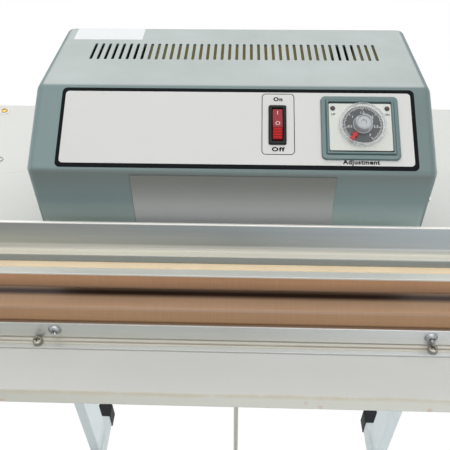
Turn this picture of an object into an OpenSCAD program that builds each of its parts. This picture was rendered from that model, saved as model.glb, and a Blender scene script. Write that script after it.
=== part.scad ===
/* [Table] */
// Width of the table top
table_w = 700; // [560:5:900]
// Depth of the table top from its front crease to its rear edge
table_d = 452; // [380:2:560]
// Height of the table top above the floor
table_h = 690; // [560:5:820]
// Thickness of the table sheet
table_t = 2; // [1.5:0.5:3]
// Length of the sloping lip at the table's front edge
lip_len = 10.5; // [6:0.5:16]
// Angle of the lip below the table top
lip_angle = 40; // [20:5:60]
// Height of the turned-down side and rear edges
skirt_h = 24; // [16:1:32]
/* [Control box] */
// Width of the control box
head_w = 325.6; // [280:0.2:360]
// Height of the box's upright lower face
head_face_h = 149.6; // [120:0.2:180]
// Depth of the sloping panel in plan
panel_run = 64.9; // [52:0.1:80]
// Rise of the sloping panel
panel_rise = 38.8; // [30:0.1:48]
// Depth of the box's flat top
head_top_d = 114.3; // [94:0.1:138]
// Wall of the box
head_t = 1.6; // [1.2:0.2:2.4]
// Bend radius of the box's long edges
head_r = 5; // [3:0.5:8]
// Rounding of the box's side edges
side_r = 8; // [4:0.5:10]
// Sideways offset of the box from the machine's centre
head_x = -6.8; // [-10:0.1:10]
// Gap between the upper jaw's back and the box's face
head_gap = 9; // [7:0.5:14]
// Number of cooling slots in the top
vent_count = 40; // [24:1:44]
// Distance between cooling slots
vent_pitch = 6.47; // [5.6:0.01:7]
// Length of a cooling slot
vent_len = 31.5; // [24:0.5:38]
// Width of a cooling slot
vent_w = 2.7; // [2:0.1:3.2]
/* [Control panel] */
// Width of the panel label
label_w = 286; // [240:1:300]
// Height of the panel label
label_h = 70.2; // [58:0.1:72]
// Width of the switch bezel
switch_w = 14.3; // [12:0.1:17]
// Height of the switch bezel
switch_h = 34.6; // [29:0.1:40]
// Radius of the timer dial
dial_r = 15.6; // [13:0.1:17]
// Timer face left free on each side of the dial's rim
face_side = 6.6; // [4:0.1:9]
// Timer face left free above and below the dial's rim
face_end = 2.3; // [1:0.1:5]
/* [Jaws] */
// Sealing length
seal_len = 600; // [500:10:700]
// Opening between the jaws at rest
jaw_gap = 12.4; // [9:0.1:18]
// Height of the lower jaw above the table
lower_h = 34.3; // [30:0.1:40]
// Width of the lower jaw's flat top
lower_top_w = 33.8; // [28:0.2:38]
// Width of the rubber nose under the upper jaw
nose_w = 14.2; // [12:0.2:16]
// Height of the rubber nose
nose_h = 16.2; // [10:0.2:20]
// Height of the upper jaw's web
web_h = 27.5; // [22:0.5:34]
// Thickness of the upper jaw's web
web_t = 2.5; // [2:0.1:4]
// Height of the upper jaw's foot
jaw_foot_h = 8.4; // [7:0.1:10]
// Diameter of the guide posts
post_d = 12; // [10:0.5:14]
/* [Stand] */
// Distance between the inner faces of the uprights
upright_gap = 528; // [420:2:560]
// Depth of an upright
upright_d = 54; // [44:1:66]
// Width of an upright
upright_w = 17.5; // [15:0.5:24]
// Thickness of the upright's steel
upright_t = 2.5; // [2:0.5:3]
// Width of the foot tubes
foot_w = 25; // [22:1:32]
// Height of the foot tubes
foot_h = 35; // [28:1:40]
// Length of the foot tubes
foot_len = 402; // [340:2:480]
// Side of the square frame tubes
frame_tube = 30; // [24:1:36]
/* [Pedal] */
// Width of the treadle
treadle_w = 150; // [120:5:180]
// Depth of the treadle
treadle_d = 92; // [76:1:110]
// Distance from the pedal's pivot to the treadle's front edge
pedal_len = 328; // [270:1:380]
// Rise of the pedal arms towards the front
pedal_angle = 9.5; // [8:0.5:11]
// Diameter of the pedal shaft
shaft_d = 10; // [8:0.5:12]
// Diameter of the pull rod
rod_d = 5; // [4:0.5:7]
/* [Clearances] */
// Radial clearance of a running fit
run_c = 0.05; // [0.02:0.01:0.1]
// Clearance between separate pieces that only pass each other
pass_c = 0.3; // [0.3:0.05:0.6]
/* [Hidden] */
$fn = 48;
eps = 0.01;

// Colours
head_colour = [0.55, 0.62, 0.60];
table_colour = [0.85, 0.85, 0.83];
stand_colour = [0.80, 0.85, 0.85];
alu = [0.76, 0.77, 0.78];
steel = [0.70, 0.70, 0.70];
zinc = [0.72, 0.72, 0.62];
ptfe = [0.60, 0.47, 0.36];
black = [0.08, 0.08, 0.09];

// Places along the machine's depth; the origin lies midway between table rear and treadle front
jaw_back_set = 76.3;
pivot_set = 116;
treadle_fold = 12;
arm_h = 20;
front_reach = pedal_len * cos(pedal_angle) + (treadle_fold - arm_h / 2) * sin(pedal_angle);
overall_d = table_d - jaw_back_set - pivot_set + front_reach;
rear_y = overall_d / 2;
crease_y = rear_y - table_d;
jaw_y = crease_y + jaw_back_set;
head_y = jaw_y + 19 + head_gap;
head_top_y = head_y + panel_run;
head_rear_y = head_top_y + head_top_d;
foot_rear_y = head_top_y + 187;
upright_y = head_top_y + 85;

// Heights
table_under = table_h - table_t;
lower_top = table_h + lower_h;
nose_low = lower_top + jaw_gap;
nose_top = nose_low + nose_h;
bar_t = 4;
backing_t = 0.8;
bar_top = nose_top + bar_t;
backing_top = bar_top + backing_t;
foot_top = backing_top + jaw_foot_h;
web_top = foot_top + web_h;
stroke = jaw_gap - pass_c;
bend_z = table_h + head_face_h;
head_top_z = bend_z + panel_rise;

// Control panel's own frame
panel_len = norm([panel_run, panel_rise]);
panel_tilt = atan2(panel_rise, panel_run);
label_t = 0.4;
label_s = 37.6;
switch_x = 30.3;
switch_s = 40.4;
timer_x = 95.6;
timer_s = 38.2;
dial_x = 97;
dial_s = 39.2;
dial_rim = dial_r + 2.6;
face_w = 2 * (dial_rim + face_side);
face_h = 2 * (dial_rim + face_end);
timer_w = face_w + 12;
timer_h = face_h + 14;

// Guide posts and yoke
jaw_len = seal_len + 40;
post_x = jaw_len / 2 + 14;
block_w = 28;
block_y = jaw_y - 12;
block_d = 31;
block_low = bar_top;
bush_flange_t = 4;
bush_r = post_d / 2 + 4;
bush_flange_r = bush_r + 4;
post_nut_w = post_d + 7;
nut_h = 8;
yoke_top = table_under - frame_tube - 3;
bush_len = table_h - yoke_top - nut_h - 1;
yoke_h = 30;
yoke_d = 20;
yoke_wall = 2;
yoke_low = yoke_top - yoke_h;
post_low = yoke_low - 18;
post_top = web_top + 12;
spring_r = post_d / 2 + 2.6;
spring_wire = 1.8;
spring_turns = 8;
spring_low = table_h + bush_flange_t;

// Pedal
pivot_y = jaw_y + pivot_set;
pivot_z = 30;
pin_z = pivot_z + stroke / 2;
pin_d = 6;
arm_x = 68;
arm_t = 5;
lug_x = 7;
lug_t = 4;
ear_x = arm_x + arm_t + 1;
ear_t = 4;
pad_t = 6;

// Stand
foot_low = 5;
foot_top_z = foot_low + foot_h;
boot_wall = 1.6;
boot_len = 26;
rail_low = table_under - frame_tube;
upright_x = upright_gap / 2;
upright_mid = upright_x + upright_w / 2;
cross_y = pivot_y + 32;
tube_wall = 2;

// Rounds the corners of a closed outline; each corner is [x, y, radius]
function unit(v) = v / norm(v);
function corner_arc(a, p, b, steps = 5) =
  let (
    u = unit([a.x - p.x, a.y - p.y]),
    w = unit([b.x - p.x, b.y - p.y]),
    half = acos(u * w) / 2,
    reach = p[2] / tan(half),
    mid = unit(u + w),
    centre = [p.x, p.y] + mid * p[2] / sin(half),
    start = [p.x, p.y] + u * reach,
    finish = [p.x, p.y] + w * reach,
    a0 = atan2(start.y - centre.y, start.x - centre.x),
    a1 = atan2(finish.y - centre.y, finish.x - centre.x),
    turn = a1 - a0 > 180 ? a1 - a0 - 360 : (a1 - a0 < -180 ? a1 - a0 + 360 : a1 - a0)
  )
  [for (i = [0:steps]) centre + p[2] * [cos(a0 + turn * i / steps), sin(a0 + turn * i / steps)]];
function rounded(corners) =
  let (n = len(corners))
  [for (i = [0:n - 1])
    let (p = corners[i])
    each p[2] == 0 ? [[p.x, p.y]] : corner_arc(corners[(i + n - 1) % n], p, corners[(i + 1) % n])];

// Places an outline drawn in depth and height, extruded across the width
module across(width, x = 0) {
  translate([x - width / 2, 0, 0])
    rotate([90, 0, 90])
      linear_extrude(width) children();
}

module box(x0, x1, y0, y1, z0, z1) {
  translate([x0, y0, z0]) cube([x1 - x0, y1 - y0, z1 - z0]);
}

module mirrored() {
  children();
  mirror([1, 0, 0]) children();
}

module plate(w, h, t, r) {
  linear_extrude(t)
    polygon(rounded([[-w / 2, -h / 2, r], [w / 2, -h / 2, r], [w / 2, h / 2, r], [-w / 2, h / 2, r]]));
}

// Frame of the sloping panel: x across, y up the slope, z out of it
module on_panel(x = 0, s = 0, out = 0) {
  translate([x, head_y, bend_z])
    rotate([panel_tilt, 0, 0])
      translate([0, s, out]) children();
}

module pan_head(d, h) {
  difference() {
    rotate_extrude()
      polygon([[0, 0], [d / 2, 0], [d / 2, h * 0.35], [d * 0.42, h * 0.75], [d * 0.28, h], [0, h]]);
    for (a = [0, 90])
      rotate([0, 0, a]) translate([-d * 0.28, -d * 0.06, h * 0.4]) cube([d * 0.56, d * 0.12, h]);
  }
}

module hex_nut(across_flats, h, bore) {
  difference() {
    cylinder(d = across_flats / cos(30), h = h, $fn = 6);
    translate([0, 0, -1]) cylinder(d = bore, h = h + 2);
  }
}

// ---------- table ----------
lip_y = lip_len * cos(lip_angle);
lip_z = lip_len * sin(lip_angle);

module table_outline() {
  nx = table_t * sin(lip_angle);
  nz = table_t * cos(lip_angle);
  polygon([
    [crease_y - lip_y, table_h - lip_z], [crease_y, table_h], [rear_y, table_h],
    [rear_y, table_h - skirt_h], [rear_y - table_t, table_h - skirt_h], [rear_y - table_t, table_under],
    [crease_y + table_t * tan(lip_angle / 2), table_under], [crease_y - lip_y + nx, table_h - lip_z - nz]
  ]);
}

module table() {
  color(table_colour)
    difference() {
      union() {
        across(table_w) table_outline();
        mirrored()
          box(table_w / 2 - table_t, table_w / 2, crease_y + 12, rear_y - table_t, table_h - skirt_h, table_under);
      }
      mirrored()
        translate([post_x, jaw_y, table_h - 5]) cylinder(r = bush_r + run_c, h = 10);
    }
}

screw_x = table_w / 2 - 19;
screw_y = rear_y - 19;

module table_screws() {
  color([0.75, 0.62, 0.30])
    mirrored()
      translate([screw_x, screw_y, table_h + 1.2]) pan_head(9, 3);
}

module table_washers() {
  color("white")
    mirrored()
      translate([screw_x, screw_y, table_h])
        difference() {
          cylinder(d = 15, h = 1.2);
          translate([0, 0, -1]) cylinder(d = 5, h = 4);
        }
}

// ---------- stand ----------
module square_tube_x(x0, x1, y, z, w, h) {
  difference() {
    box(x0, x1, y - w / 2, y + w / 2, z - h / 2, z + h / 2);
    box(x0 - 1, x1 + 1, y - w / 2 + tube_wall, y + w / 2 - tube_wall, z - h / 2 + tube_wall, z + h / 2 - tube_wall);
  }
}

module square_tube_y(x, y0, y1, z, w, h) {
  difference() {
    box(x - w / 2, x + w / 2, y0, y1, z - h / 2, z + h / 2);
    box(x - w / 2 + tube_wall, x + w / 2 - tube_wall, y0 - 1, y1 + 1, z - h / 2 + tube_wall, z + h / 2 - tube_wall);
  }
}

rail_front = crease_y + 20;
rail_rear = rear_y - table_t;

module table_rails() {
  color(stand_colour)
    mirrored()
      square_tube_y(upright_mid, rail_front, rail_rear, table_under - frame_tube / 2, frame_tube, frame_tube);
}

// A folded channel whose web faces the middle of the machine
module upright() {
  color(stand_colour)
    translate([0, 0, foot_top_z])
      linear_extrude(rail_low - foot_top_z)
        difference() {
          translate([upright_x, upright_y]) square([upright_w, upright_d]);
          translate([upright_x + upright_t, upright_y + upright_t])
            square([upright_w, upright_d - 2 * upright_t]);
        }
}
module upright_right() { upright(); }
module upright_left() { mirror([1, 0, 0]) upright(); }

module foot() {
  color(stand_colour)
    square_tube_y(upright_mid, foot_rear_y - foot_len, foot_rear_y, foot_low + foot_h / 2, foot_w, foot_h);
}
module foot_right() { foot(); }
module foot_left() { mirror([1, 0, 0]) foot(); }

// Rubber boots closed at one end that slip over the foot tubes and stand on the floor
module boot() {
  outer_w = foot_w + 2 * boot_wall;
  outer_h = foot_low + foot_h + boot_wall;
  difference() {
    translate([0, boot_wall, 0])
      rotate([90, 0, 0])
        linear_extrude(boot_len)
          polygon(rounded([[-outer_w / 2, 0, 1.5], [outer_w / 2, 0, 1.5], [outer_w / 2, outer_h, 4],
            [-outer_w / 2, outer_h, 4]]));
    box(-foot_w / 2, foot_w / 2, -boot_len, 0, foot_low, foot_low + foot_h);
  }
}
module foot_boots() {
  color(black)
    mirrored() {
      translate([upright_mid, foot_rear_y, 0]) boot();
      translate([upright_mid, foot_rear_y - foot_len, 0]) mirror([0, 1, 0]) boot();
    }
}

module top_crossbeam() {
  reach = upright_mid - frame_tube / 2;
  color(stand_colour)
    square_tube_x(-reach, reach, upright_y + upright_d / 2, table_under - frame_tube / 2, frame_tube, frame_tube);
}

// Lower crossbeam with the two ears that carry the pedal shaft
module lower_crossbeam() {
  reach = upright_mid - foot_w / 2;
  beam_z = foot_low + foot_h / 2;
  color(stand_colour) {
    square_tube_x(-reach, reach, cross_y, beam_z, frame_tube, frame_tube);
    mirrored()
      difference() {
        across(ear_t, ear_x + ear_t / 2)
          polygon(rounded([[pivot_y - 10, pivot_z - 12, 7], [cross_y - frame_tube / 2, pivot_z - 12, 0],
            [cross_y - frame_tube / 2, pivot_z + 7, 0], [pivot_y - 10, pivot_z + 12, 7]]));
        translate([ear_x - 1, pivot_y, pivot_z])
          rotate([0, 90, 0]) cylinder(d = shaft_d + 2 * run_c, h = ear_t + 2);
      }
  }
}

module hex_head(across_flats, h) {
  cylinder(d = across_flats / cos(30), h = h, $fn = 6);
}

// Bolt heads under the rails, in the uprights' feet, beside the crossbeam and on the table
module stand_bolts() {
  color(steel)
    mirrored() {
      translate([upright_mid + 28, upright_y + upright_d + 12, table_h]) pan_head(9, 3);
      for (y = [upright_y + 13, upright_y + upright_d - 13])
        translate([upright_mid, y, rail_low]) mirror([0, 0, 1]) hex_head(10, 4);
      for (y = [upright_y + 13, upright_y + upright_d - 13])
        translate([upright_mid, y, foot_top_z]) hex_head(10, 4);
      translate([upright_mid + foot_w / 2, cross_y, foot_low + foot_h / 2])
        rotate([0, 90, 0]) hex_head(13, 5);
    }
}

// ---------- control box ----------
// Side outline of the box, moved inwards by an inset; radii follow the inset
function head_corners(inset, low) =
  let (
    t = tan(panel_tilt),
    c = cos(panel_tilt),
    r = max(head_r - inset, 0.5)
  )
  [
    [head_y + inset, low, 0],
    [head_rear_y - inset, low, 0],
    [head_rear_y - inset, head_top_z - inset, r],
    [head_y + (panel_rise - inset + inset / c) / t, head_top_z - inset, r],
    [head_y + inset, bend_z + inset * t - inset / c, r]
  ];

// Convex body of the box: side outline, rounded front and plan outlines, and the panel's
// own cross-section, all met in one solid
module head_form(inset, low) {
  w = head_w - 2 * inset;
  r = side_r - inset;
  depth = head_rear_y - head_y;
  top = head_top_z - inset;
  intersection() {
    across(w, head_x) polygon(rounded(head_corners(inset, low)));
    translate([head_x, head_rear_y + 1, 0])
      rotate([90, 0, 0])
        linear_extrude(depth + 2)
          polygon(rounded([[-w / 2, low - 1, 0], [w / 2, low - 1, 0], [w / 2, top, r], [-w / 2, top, r]]));
    translate([head_x, head_y + depth / 2, low - 1])
      plate(w, depth - 2 * inset, head_top_z - low + 2, r);
    on_panel(head_x)
      rotate([90, 0, 0])
        translate([0, 0, -depth - 60])
          linear_extrude(2 * depth + 120)
            polygon(rounded([[-w / 2, -2 * depth, 0], [w / 2, -2 * depth, 0], [w / 2, -inset, r],
              [-w / 2, -inset, r]]));
  }
}

base_t = 2;
base_lip = 14;

module head_base() {
  inner_w = head_w - 2 * head_t;
  y0 = head_y + head_t;
  y1 = head_rear_y - head_t;
  r = side_r - head_t;
  color(head_colour)
    translate([head_x, 0, 0]) {
      translate([0, (y0 + y1) / 2, table_h]) plate(inner_w, y1 - y0, base_t, r);
      mirrored()
        box(inner_w / 2 - base_t, inner_w / 2, y0 + r, y1 - r, table_h + base_t, table_h + base_lip);
    }
}

module vents() {
  slot_y = head_top_y + 45.7;
  for (i = [0:vent_count - 1])
    translate([(i - (vent_count - 1) / 2) * vent_pitch, slot_y, head_top_z - 4]) {
      translate([0, vent_w / 2, 0]) cylinder(d = vent_w, h = 8, $fn = 24);
      translate([0, vent_len - vent_w / 2, 0]) cylinder(d = vent_w, h = 8, $fn = 24);
      translate([-vent_w / 2, vent_w / 2, 0]) cube([vent_w, vent_len - vent_w, 8]);
    }
}

gland_r = 9;
gland_z = table_h + 40;

module head_cover() {
  color(head_colour)
    difference() {
      head_form(0, table_h);
      head_form(head_t, table_h - 1);
      translate([head_x, 0, 0]) vents();
      on_panel(switch_x, switch_s, -5)
        translate([-(switch_w - 3) / 2, -(switch_h - 5) / 2, 0]) cube([switch_w - 3, switch_h - 5, 10]);
      on_panel(timer_x, timer_s, -5)
        translate([-face_w / 2, -face_h / 2, 0]) cube([face_w, face_h, 10]);
      translate([head_x + 100, head_rear_y + 5, gland_z]) rotate([90, 0, 0]) cylinder(r = gland_r, h = 10);
    }
}

module head_screws() {
  color(steel)
    translate([head_x, 0, 0])
      mirrored()
        for (p = [[head_y + 12, bend_z - 34], [head_y + 25, table_h + 8], [head_rear_y - 25, table_h + 8]])
          translate([head_w / 2, p[0], p[1]]) rotate([0, 90, 0]) pan_head(7, 2.4);
}

label_x = head_x + 4.1;

module panel_label() {
  color([0.86, 0.86, 0.86])
    difference() {
      on_panel(label_x, label_s, 0) plate(label_w, label_h, label_t, 4);
      on_panel(switch_x, switch_s, -5)
        translate([-(switch_w - 3) / 2, -(switch_h - 5) / 2, 0]) cube([switch_w - 3, switch_h - 5, 10]);
      on_panel(timer_x, timer_s, -5)
        translate([-face_w / 2, -face_h / 2, 0]) cube([face_w, face_h, 10]);
    }
}

module blank_plate() {
  color([0.55, 0.55, 0.55])
    translate([head_x + 2, head_y, bend_z - 4 - 35])
      rotate([90, 0, 0]) plate(164, 70, 0.8, 1);
}

module blank_sticker() {
  color("white")
    translate([head_x - head_w / 2 + 45.1, head_rear_y - 17.7, head_top_z])
      linear_extrude(0.2) square([64.5, 23], center = true);
}

module cord_gland() {
  color(black)
    translate([head_x + 100, head_rear_y, gland_z])
      rotate([-90, 0, 0]) {
        difference() {
          union() {
            translate([0, 0, -head_t - 3]) cylinder(r = gland_r - run_c, h = head_t + 3 + eps);
            cylinder(d = 26, h = 5, $fn = 6);
            translate([0, 0, 5]) cylinder(r1 = 10, r2 = 8, h = 12);
          }
          translate([0, 0, -10]) cylinder(r = 4, h = 40);
        }
      }
}

bezel_h = 2.4;

module switch_bezel() {
  color(black)
    on_panel(switch_x, switch_s, label_t)
      difference() {
        union() {
          plate(switch_w, switch_h, bezel_h, 1.5);
          translate([0, 0, -label_t - head_t - 14])
            linear_extrude(label_t + head_t + 14)
              square([switch_w - 3 - 2 * pass_c, switch_h - 5 - 2 * pass_c], center = true);
        }
        translate([0, 0, -8])
          linear_extrude(20) square([switch_w - 6, switch_h - 7.6], center = true);
      }
}

rocker_w = switch_w - 6 - 2 * pass_c;
rocker_l = switch_h - 7.6 - 2 * pass_c;
rocker_out = label_t + bezel_h - 1;

// Rocker drawn with its upper end pressed in
module switch_rocker() {
  color([0.85, 0.10, 0.08])
    on_panel(switch_x, switch_s, rocker_out)
      translate([-rocker_w / 2, 0, 0])
        rotate([90, 0, 90])
          linear_extrude(rocker_w)
            intersection() {
              polygon([[-rocker_l / 2, -4], [rocker_l / 2, -4], [rocker_l / 2, 0.9],
                [-rocker_l * 0.14, 3.4], [-rocker_l / 2, -0.3]]);
              circle(r = rocker_l / 2, $fn = 64);
            }
}

timer_step = 1.6;
timer_body_d = 46;

module timer_bezel() {
  color(head_colour)
    on_panel(timer_x, timer_s, label_t)
      difference() {
        union() {
          plate(timer_w, timer_h, 3, 4);
          plate(timer_w - 8, timer_h - 8, 3 + timer_step, 3);
        }
        translate([0, 0, -1]) plate(face_w + 2 * pass_c, face_h + 2 * pass_c, 8, 1.5);
      }
}

module timer_body() {
  color([0.20, 0.20, 0.22])
    on_panel(timer_x, timer_s, -timer_body_d)
      linear_extrude(timer_body_d + label_t + 2.2)
        square([face_w - 2 * pass_c, face_h - 2 * pass_c], center = true);
}

module timer_face() {
  color([0.88, 0.88, 0.87])
    on_panel(timer_x, timer_s, label_t + 2.2)
      difference() {
        plate(face_w, face_h, 0.8, 1.2);
        translate([dial_x - timer_x, dial_s - timer_s, -1]) cylinder(r = 3 + pass_c, h = 3);
      }
}

dial_out = label_t + 2.2 + 0.8 + pass_c;

// Clear-rimmed dial with a raised D-shaped grip
module timer_dial() {
  color([0.25, 0.26, 0.27])
    on_panel(dial_x, dial_s, dial_out) {
      cylinder(r = dial_r, h = 1.6, $fn = 96);
      difference() {
        cylinder(r = dial_rim, h = 5, $fn = 96);
        translate([0, 0, 1.6]) cylinder(r = dial_rim - 1.2, h = 5, $fn = 96);
      }
      difference() {
        cylinder(r = 7.5, h = 8, $fn = 64);
        translate([-9, 3.5, 3]) cube([18, 8, 8]);
      }
    }
}

module timer_lamps() {
  color([0.75, 0.12, 0.10])
    for (x = [-21.5, 21.5])
      on_panel(timer_x + x, timer_s + 15.9, label_t + 3) cylinder(r = 1.3, h = 0.7, $fn = 24);
}

core = [96, 44, 80];
core_y = head_rear_y - 60;

module transformer_core() {
  color([0.35, 0.30, 0.26])
    translate([head_x - 40, core_y, table_h + base_t])
      difference() {
        translate([-core.x / 2, -core.y / 2, 0]) cube(core);
        for (x = [-24, 24])
          translate([x - 8, -core.y, 16]) cube([16, 2 * core.y, 48]);
      }
}

module transformer_coil() {
  color([0.72, 0.55, 0.20])
    translate([head_x - 40, core_y, table_h + base_t + 40])
      difference() {
        translate([-31, -core.y / 2 - 13, -23]) cube([62, core.y + 26, 46]);
        translate([-16 - pass_c, -core.y / 2 - pass_c, -30])
          cube([32 + 2 * pass_c, core.y + 2 * pass_c, 60]);
      }
}

module terminal_block() {
  color([0.85, 0.84, 0.78])
    translate([head_x + 62, core_y, table_h + base_t])
      difference() {
        translate([-30, -9, 0]) cube([60, 18, 20]);
        for (i = [-2:2])
          translate([i * 12, 0, 12]) cylinder(d = 5, h = 12, $fn = 24);
      }
}

// ---------- lower jaw ----------
slope_run = 5;
slope_drop = 11;
clamp_t = 3.7;
ptfe_t = 0.4;
clamp_top = lower_top - slope_drop;
jaw_front = jaw_y - lower_top_w / 2;
jaw_back = jaw_y + lower_top_w / 2;
clamp_back_y = jaw_front - slope_run;
clamp_front_y = clamp_back_y - clamp_t;
flange_y = clamp_front_y - 10.6;
flange_t = 2;
flange_step = 1;
clamp_low = table_h + flange_t + flange_step + 0.2;
element_w = 5;
strip_w = 16;

// Hollow aluminium extrusion with a foot flange and a sloping front shoulder
module lower_jaw() {
  top = lower_top - ptfe_t;
  inner_y = clamp_back_y + ptfe_t;
  color(alu)
    difference() {
      across(jaw_len - 4)
        difference() {
          polygon([
            [flange_y, table_h], [jaw_back, table_h], [jaw_back, top], [jaw_front + 0.3, top],
            [inner_y, clamp_top], [inner_y, table_h + flange_t + flange_step],
            [clamp_front_y - 4, table_h + flange_t + flange_step], [clamp_front_y - 4, table_h + flange_t],
            [flange_y, table_h + flange_t]
          ]);
          polygon(rounded([
            [inner_y + 3, table_h + 3, 2], [jaw_back - 3, table_h + 3, 2],
            [jaw_back - 3, top - 4, 2], [inner_y + 6, top - 4, 2]
          ]));
        }
      translate([0, jaw_y, top - 1.2]) across(jaw_len, 0) translate([-strip_w / 2, 0]) square([strip_w, 5]);
    }
}

module insulation_strip() {
  color([0.80, 0.70, 0.50])
    box(-seal_len / 2 - 10, seal_len / 2 + 10, jaw_y - strip_w / 2 + 0.1, jaw_y + strip_w / 2 - 0.1,
      lower_top - ptfe_t - 1.2, lower_top - ptfe_t - 0.3);
}

module heating_element() {
  color([0.60, 0.58, 0.55])
    box(-seal_len / 2 - 9.8, seal_len / 2 + 9.8, jaw_y - element_w / 2, jaw_y + element_w / 2,
      lower_top - ptfe_t - 0.3, lower_top - ptfe_t);
}

// Brass end blocks that hold the ribbon's ends
module element_terminals() {
  z = lower_top - ptfe_t;
  color([0.78, 0.66, 0.35])
    mirrored() {
      box(seal_len / 2 + 6, seal_len / 2 + 17, jaw_y - 7, jaw_y + 7, z, z + 4);
      translate([seal_len / 2 + 11.5, jaw_y, z + 4]) pan_head(7, 2.4);
    }
}

// Glass-cloth cover: over the top, down the front shoulder and behind the clamp bar
module lower_ptfe() {
  color(ptfe)
    across(seal_len + 4)
      polygon([
        [clamp_back_y, clamp_low + 4], [clamp_back_y, clamp_top], [jaw_front, lower_top],
        [jaw_back, lower_top], [jaw_back, lower_top - ptfe_t], [jaw_front + 0.3, lower_top - ptfe_t],
        [clamp_back_y + ptfe_t, clamp_top], [clamp_back_y + ptfe_t, clamp_low + 4]
      ]);
}

clamp_screw_x = 164;
clamp_shift = 4;
base_shift = -2.7;

module front_clamp_bar() {
  color(alu)
    across(jaw_len - 8)
      polygon(rounded([[clamp_front_y, clamp_low, 0.5], [clamp_back_y, clamp_low, 0],
        [clamp_back_y, clamp_top, 0], [clamp_front_y, clamp_top, 0.5]]));
}

module clamp_screws() {
  color(steel)
    for (side = [-1, 1])
      for (x = [clamp_screw_x, seal_len / 2 - 10])
        translate([side * x + clamp_shift, clamp_front_y, (clamp_low + clamp_top) / 2 + 1])
          rotate([90, 0, 0]) pan_head(11.4, 3);
}

module base_screws() {
  color(steel)
    for (side = [-1, 1])
      for (x = [clamp_screw_x + 9.5, seal_len / 2])
        translate([side * x + base_shift, clamp_front_y - 4.9, table_h + flange_t + flange_step])
          pan_head(8.8, 3.4);
}

module post_bushes() {
  color([0.78, 0.66, 0.35])
    mirrored()
      translate([post_x, jaw_y, 0])
        difference() {
          union() {
            translate([0, 0, table_h]) cylinder(r = bush_flange_r, h = bush_flange_t);
            translate([0, 0, table_h - bush_len]) cylinder(r = bush_r, h = bush_len + 1);
          }
          translate([0, 0, table_h - bush_len - 1])
            cylinder(d = post_d + 2 * run_c, h = bush_len + bush_flange_t + 2);
        }
}

// ---------- upper jaw ----------
web_back = jaw_y + 19;
web_front = web_back - web_t;
foot_front = jaw_y + 6.3;
bar_front = jaw_y - nose_w / 2 + ptfe_t;

// Angle extrusion: upright web, filleted into a foot that carries the nose
module upper_jaw() {
  rim = 0.6;
  color(alu)
    across(jaw_len)
      polygon(rounded([
        [web_back, backing_top, 0], [web_back, web_top, rim], [web_front, web_top, rim],
        [web_front, foot_top, 5.5], [foot_front, foot_top, 0.8], [foot_front, backing_top, 0.4]
      ]));
}

module backing_strip() {
  color([0.88, 0.78, 0.60])
    box(-jaw_len / 2, jaw_len / 2, jaw_y + 0.5, web_back, bar_top, backing_top);
}

module nose_bar() {
  color(alu)
    across(jaw_len)
      polygon(rounded([[bar_front, nose_top, 0.3], [web_back, nose_top, 0], [web_back, bar_top, 0],
        [bar_front, bar_top, 0.3]]));
}

nose_front = jaw_y - nose_w / 2;
nose_back = jaw_y + nose_w / 2;

module nose_rubber() {
  color([0.75, 0.35, 0.25])
    across(seal_len + 8)
      polygon(rounded([
        [nose_front + ptfe_t, nose_top, 0], [nose_front + ptfe_t, nose_low + ptfe_t, 4.5],
        [nose_back - ptfe_t, nose_low + ptfe_t, 4.5], [nose_back - ptfe_t, nose_top, 0]
      ]));
}

// Cloth sleeve round the rubber nose, carried up over the front of the nose bar
module upper_ptfe() {
  color(ptfe)
    across(seal_len + 4)
      difference() {
        polygon(rounded([
          [nose_front, bar_top, 0], [nose_front, nose_low, 4.9],
          [nose_back, nose_low, 4.9], [nose_back, nose_top, 0], [jaw_y, nose_top, 0], [jaw_y, bar_top, 0]
        ]));
        polygon(rounded([
          [nose_front + ptfe_t, bar_top + 1, 0], [nose_front + ptfe_t, nose_low + ptfe_t, 4.5],
          [nose_back - ptfe_t, nose_low + ptfe_t, 4.5], [nose_back - ptfe_t, bar_top + 1, 0]
        ]));
      }
}

module jaw_block() {
  x0 = jaw_len / 2;
  color(alu)
    difference() {
      translate([x0, 0, 0])
        rotate([90, 0, 90])
          linear_extrude(block_w)
            polygon(rounded([[block_y, block_low, 1], [block_y + block_d, block_low, 0],
              [block_y + block_d, web_top, 3], [block_y, web_top - 8, 6]]));
      translate([post_x, jaw_y, block_low - 1]) cylinder(d = post_d + 2 * run_c, h = 80);
    }
}
module jaw_block_right() { jaw_block(); }
module jaw_block_left() { mirror([1, 0, 0]) jaw_block(); }

module guide_posts() {
  color(steel)
    mirrored()
      translate([post_x, jaw_y, post_low]) {
        cylinder(d = post_d, h = post_top - post_low - 1);
        translate([0, 0, post_top - post_low - 1]) cylinder(r1 = post_d / 2, r2 = post_d / 2 - 1, h = 1);
      }
}

nut_bore = post_d + 2 * run_c;

module post_nuts() {
  color(zinc)
    mirrored()
      translate([post_x, jaw_y, 0]) {
        translate([0, 0, web_top]) hex_nut(post_nut_w, nut_h, nut_bore);
        translate([0, 0, yoke_top]) hex_nut(post_nut_w, nut_h, nut_bore);
        translate([0, 0, yoke_low - nut_h]) hex_nut(post_nut_w, nut_h, nut_bore);
      }
}

// Closed-end compression spring swept along its helix
sides = 8;
steps_per_turn = 16;

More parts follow.
